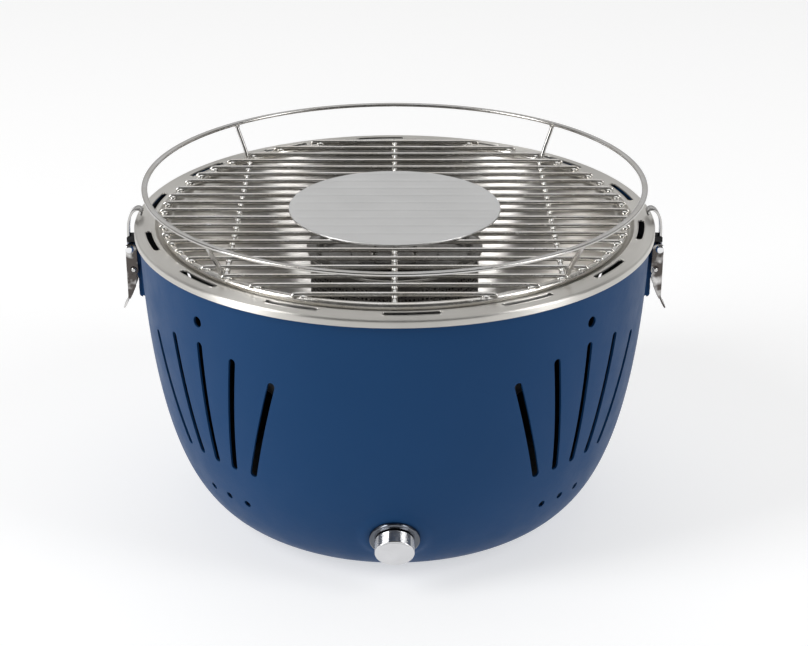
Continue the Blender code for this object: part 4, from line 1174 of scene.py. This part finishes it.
def make_buffer(side, tag):
    """Black sleeve round the strap, drawn in plan and extruded upwards."""
    outline = [(175.9, -4.8), (181.7, -4.8), (181.7, -3.8), (179.5, -3.8), (179.5, 3.8), (181.7, 3.8),
               (181.7, 4.8), (175.9, 4.8)]
    verts, faces = plate("buffer", [in_mm(outline)], 1.8 * MM, 0.3 * MM)
    shells = [([Vector((side * x, z, y + 188.2 * MM)) for x, y, z in verts], faces)]
    add_piece(f"buffer_{tag}_block", shells, "buffer_rubber", f"strap_{tag}", f"strap_buffer_{tag}")


# ---------------------------------------- knob and underside

def make_knob():
    """Turned knob with a raised edge and fine turning rings round its side, and its bezel."""
    place = knob_matrix()
    r = 12.8
    groove = 0.06
    knob = [(0, 12.55), (3, 12.55), (6, 12.5), (9, 12.45), (r - 1.4, 12.4), (r - 1.1, 12.75), (r - 0.7, 12.8),
            (r - 0.2, 12.5)]
    knob += [(r - groove + groove * math.cos(math.tau * k / 8), 12.0 - 0.1 * k) for k in range(85)]
    knob += [(r - 0.4, 3.2), (3.3, 3.2), (3.3, 9.5), (0, 9.5)]
    shells = [placed(lathe(in_mm(knob), 128), place)]
    add_piece("knob_turning", shells, "knob_chrome", "speed_knob", "knob", 60)
    bezel = [(5.4, 2.4), (11, 2.4), (14.4, 2.8), (15.5, 2.7), (16.2, 2.2), (16.5, 1.4), (16.5, 0.5),
             (5.4, 0.5)]
    shells = [placed(lathe(in_mm(bezel), 128), place)]
    # bezel: dark chrome, its blue-grey tone a painted reflection of the bowl
    add_piece("bezel_turning", shells, "knob_chrome", "housing", "knob_bezel", 25, "bezel_chrome")


def make_underside():
    """Base plate with three ring grooves, and rounded rubber feet."""
    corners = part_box("base_plate")
    low = corners[0].z / MM
    high = corners[1].z / MM
    loop = [(0, high), (109.4, high), (110, high - 0.6), (110, low + 0.6), (109.4, low), (92, low)]
    for centre in (88, 58, 20):
        loop += [(centre + 3, low), (centre + 2, low + 1), (centre - 2, low + 1), (centre - 3, low)]
    loop.append((0, low))
    add_piece("base_moulding", [lathe(in_mm(loop), 160)], "black_plastic", "housing", "base_plate")
    for number in range(1, 5):
        lo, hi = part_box(f"foot_{number}")
        centre = (lo + hi) / 2
        top = hi.z / MM
        foot = [(0, top), (8.6, top), (9, top - 0.4), (9, 1.4), (8.6, 0.5), (7.8, 0.05), (6.2, 0.0),
                (5.6, 0.5), (0, 0.5)]
        shells = [placed(lathe(in_mm(foot), 48), Matrix.Translation((centre.x, centre.y, 0.0)))]
        add_piece(f"foot_pad_{number}", shells, "foot_rubber", "housing", f"foot_{number}")


def refinish_nodes():
    """CAD nodes that stay get the finish that the record names for them."""
    for entry in frame["record"]["subparts"]:
        node = NODES[entry["node"]]
        node.data.materials.clear()
        node.data.materials.append(MATS[entry["material_slot"]])


make_camera()
make_light()
make_floor()
refinish_nodes()
make_outer_bowl()
make_inner_bowl()
make_inner_flange()
make_grate_grid()
make_grate_plate()
make_raised_ring()
make_struts()
make_basket()
make_basket_lid()
for hand, word in ((-1, "left"), (1, "right")):
    make_bracket(hand, word)
    make_lever(hand, word)
    make_pins(hand, word)
    make_strap(hand, word)
    make_buffer(hand, word)
make_knob()
make_underside()
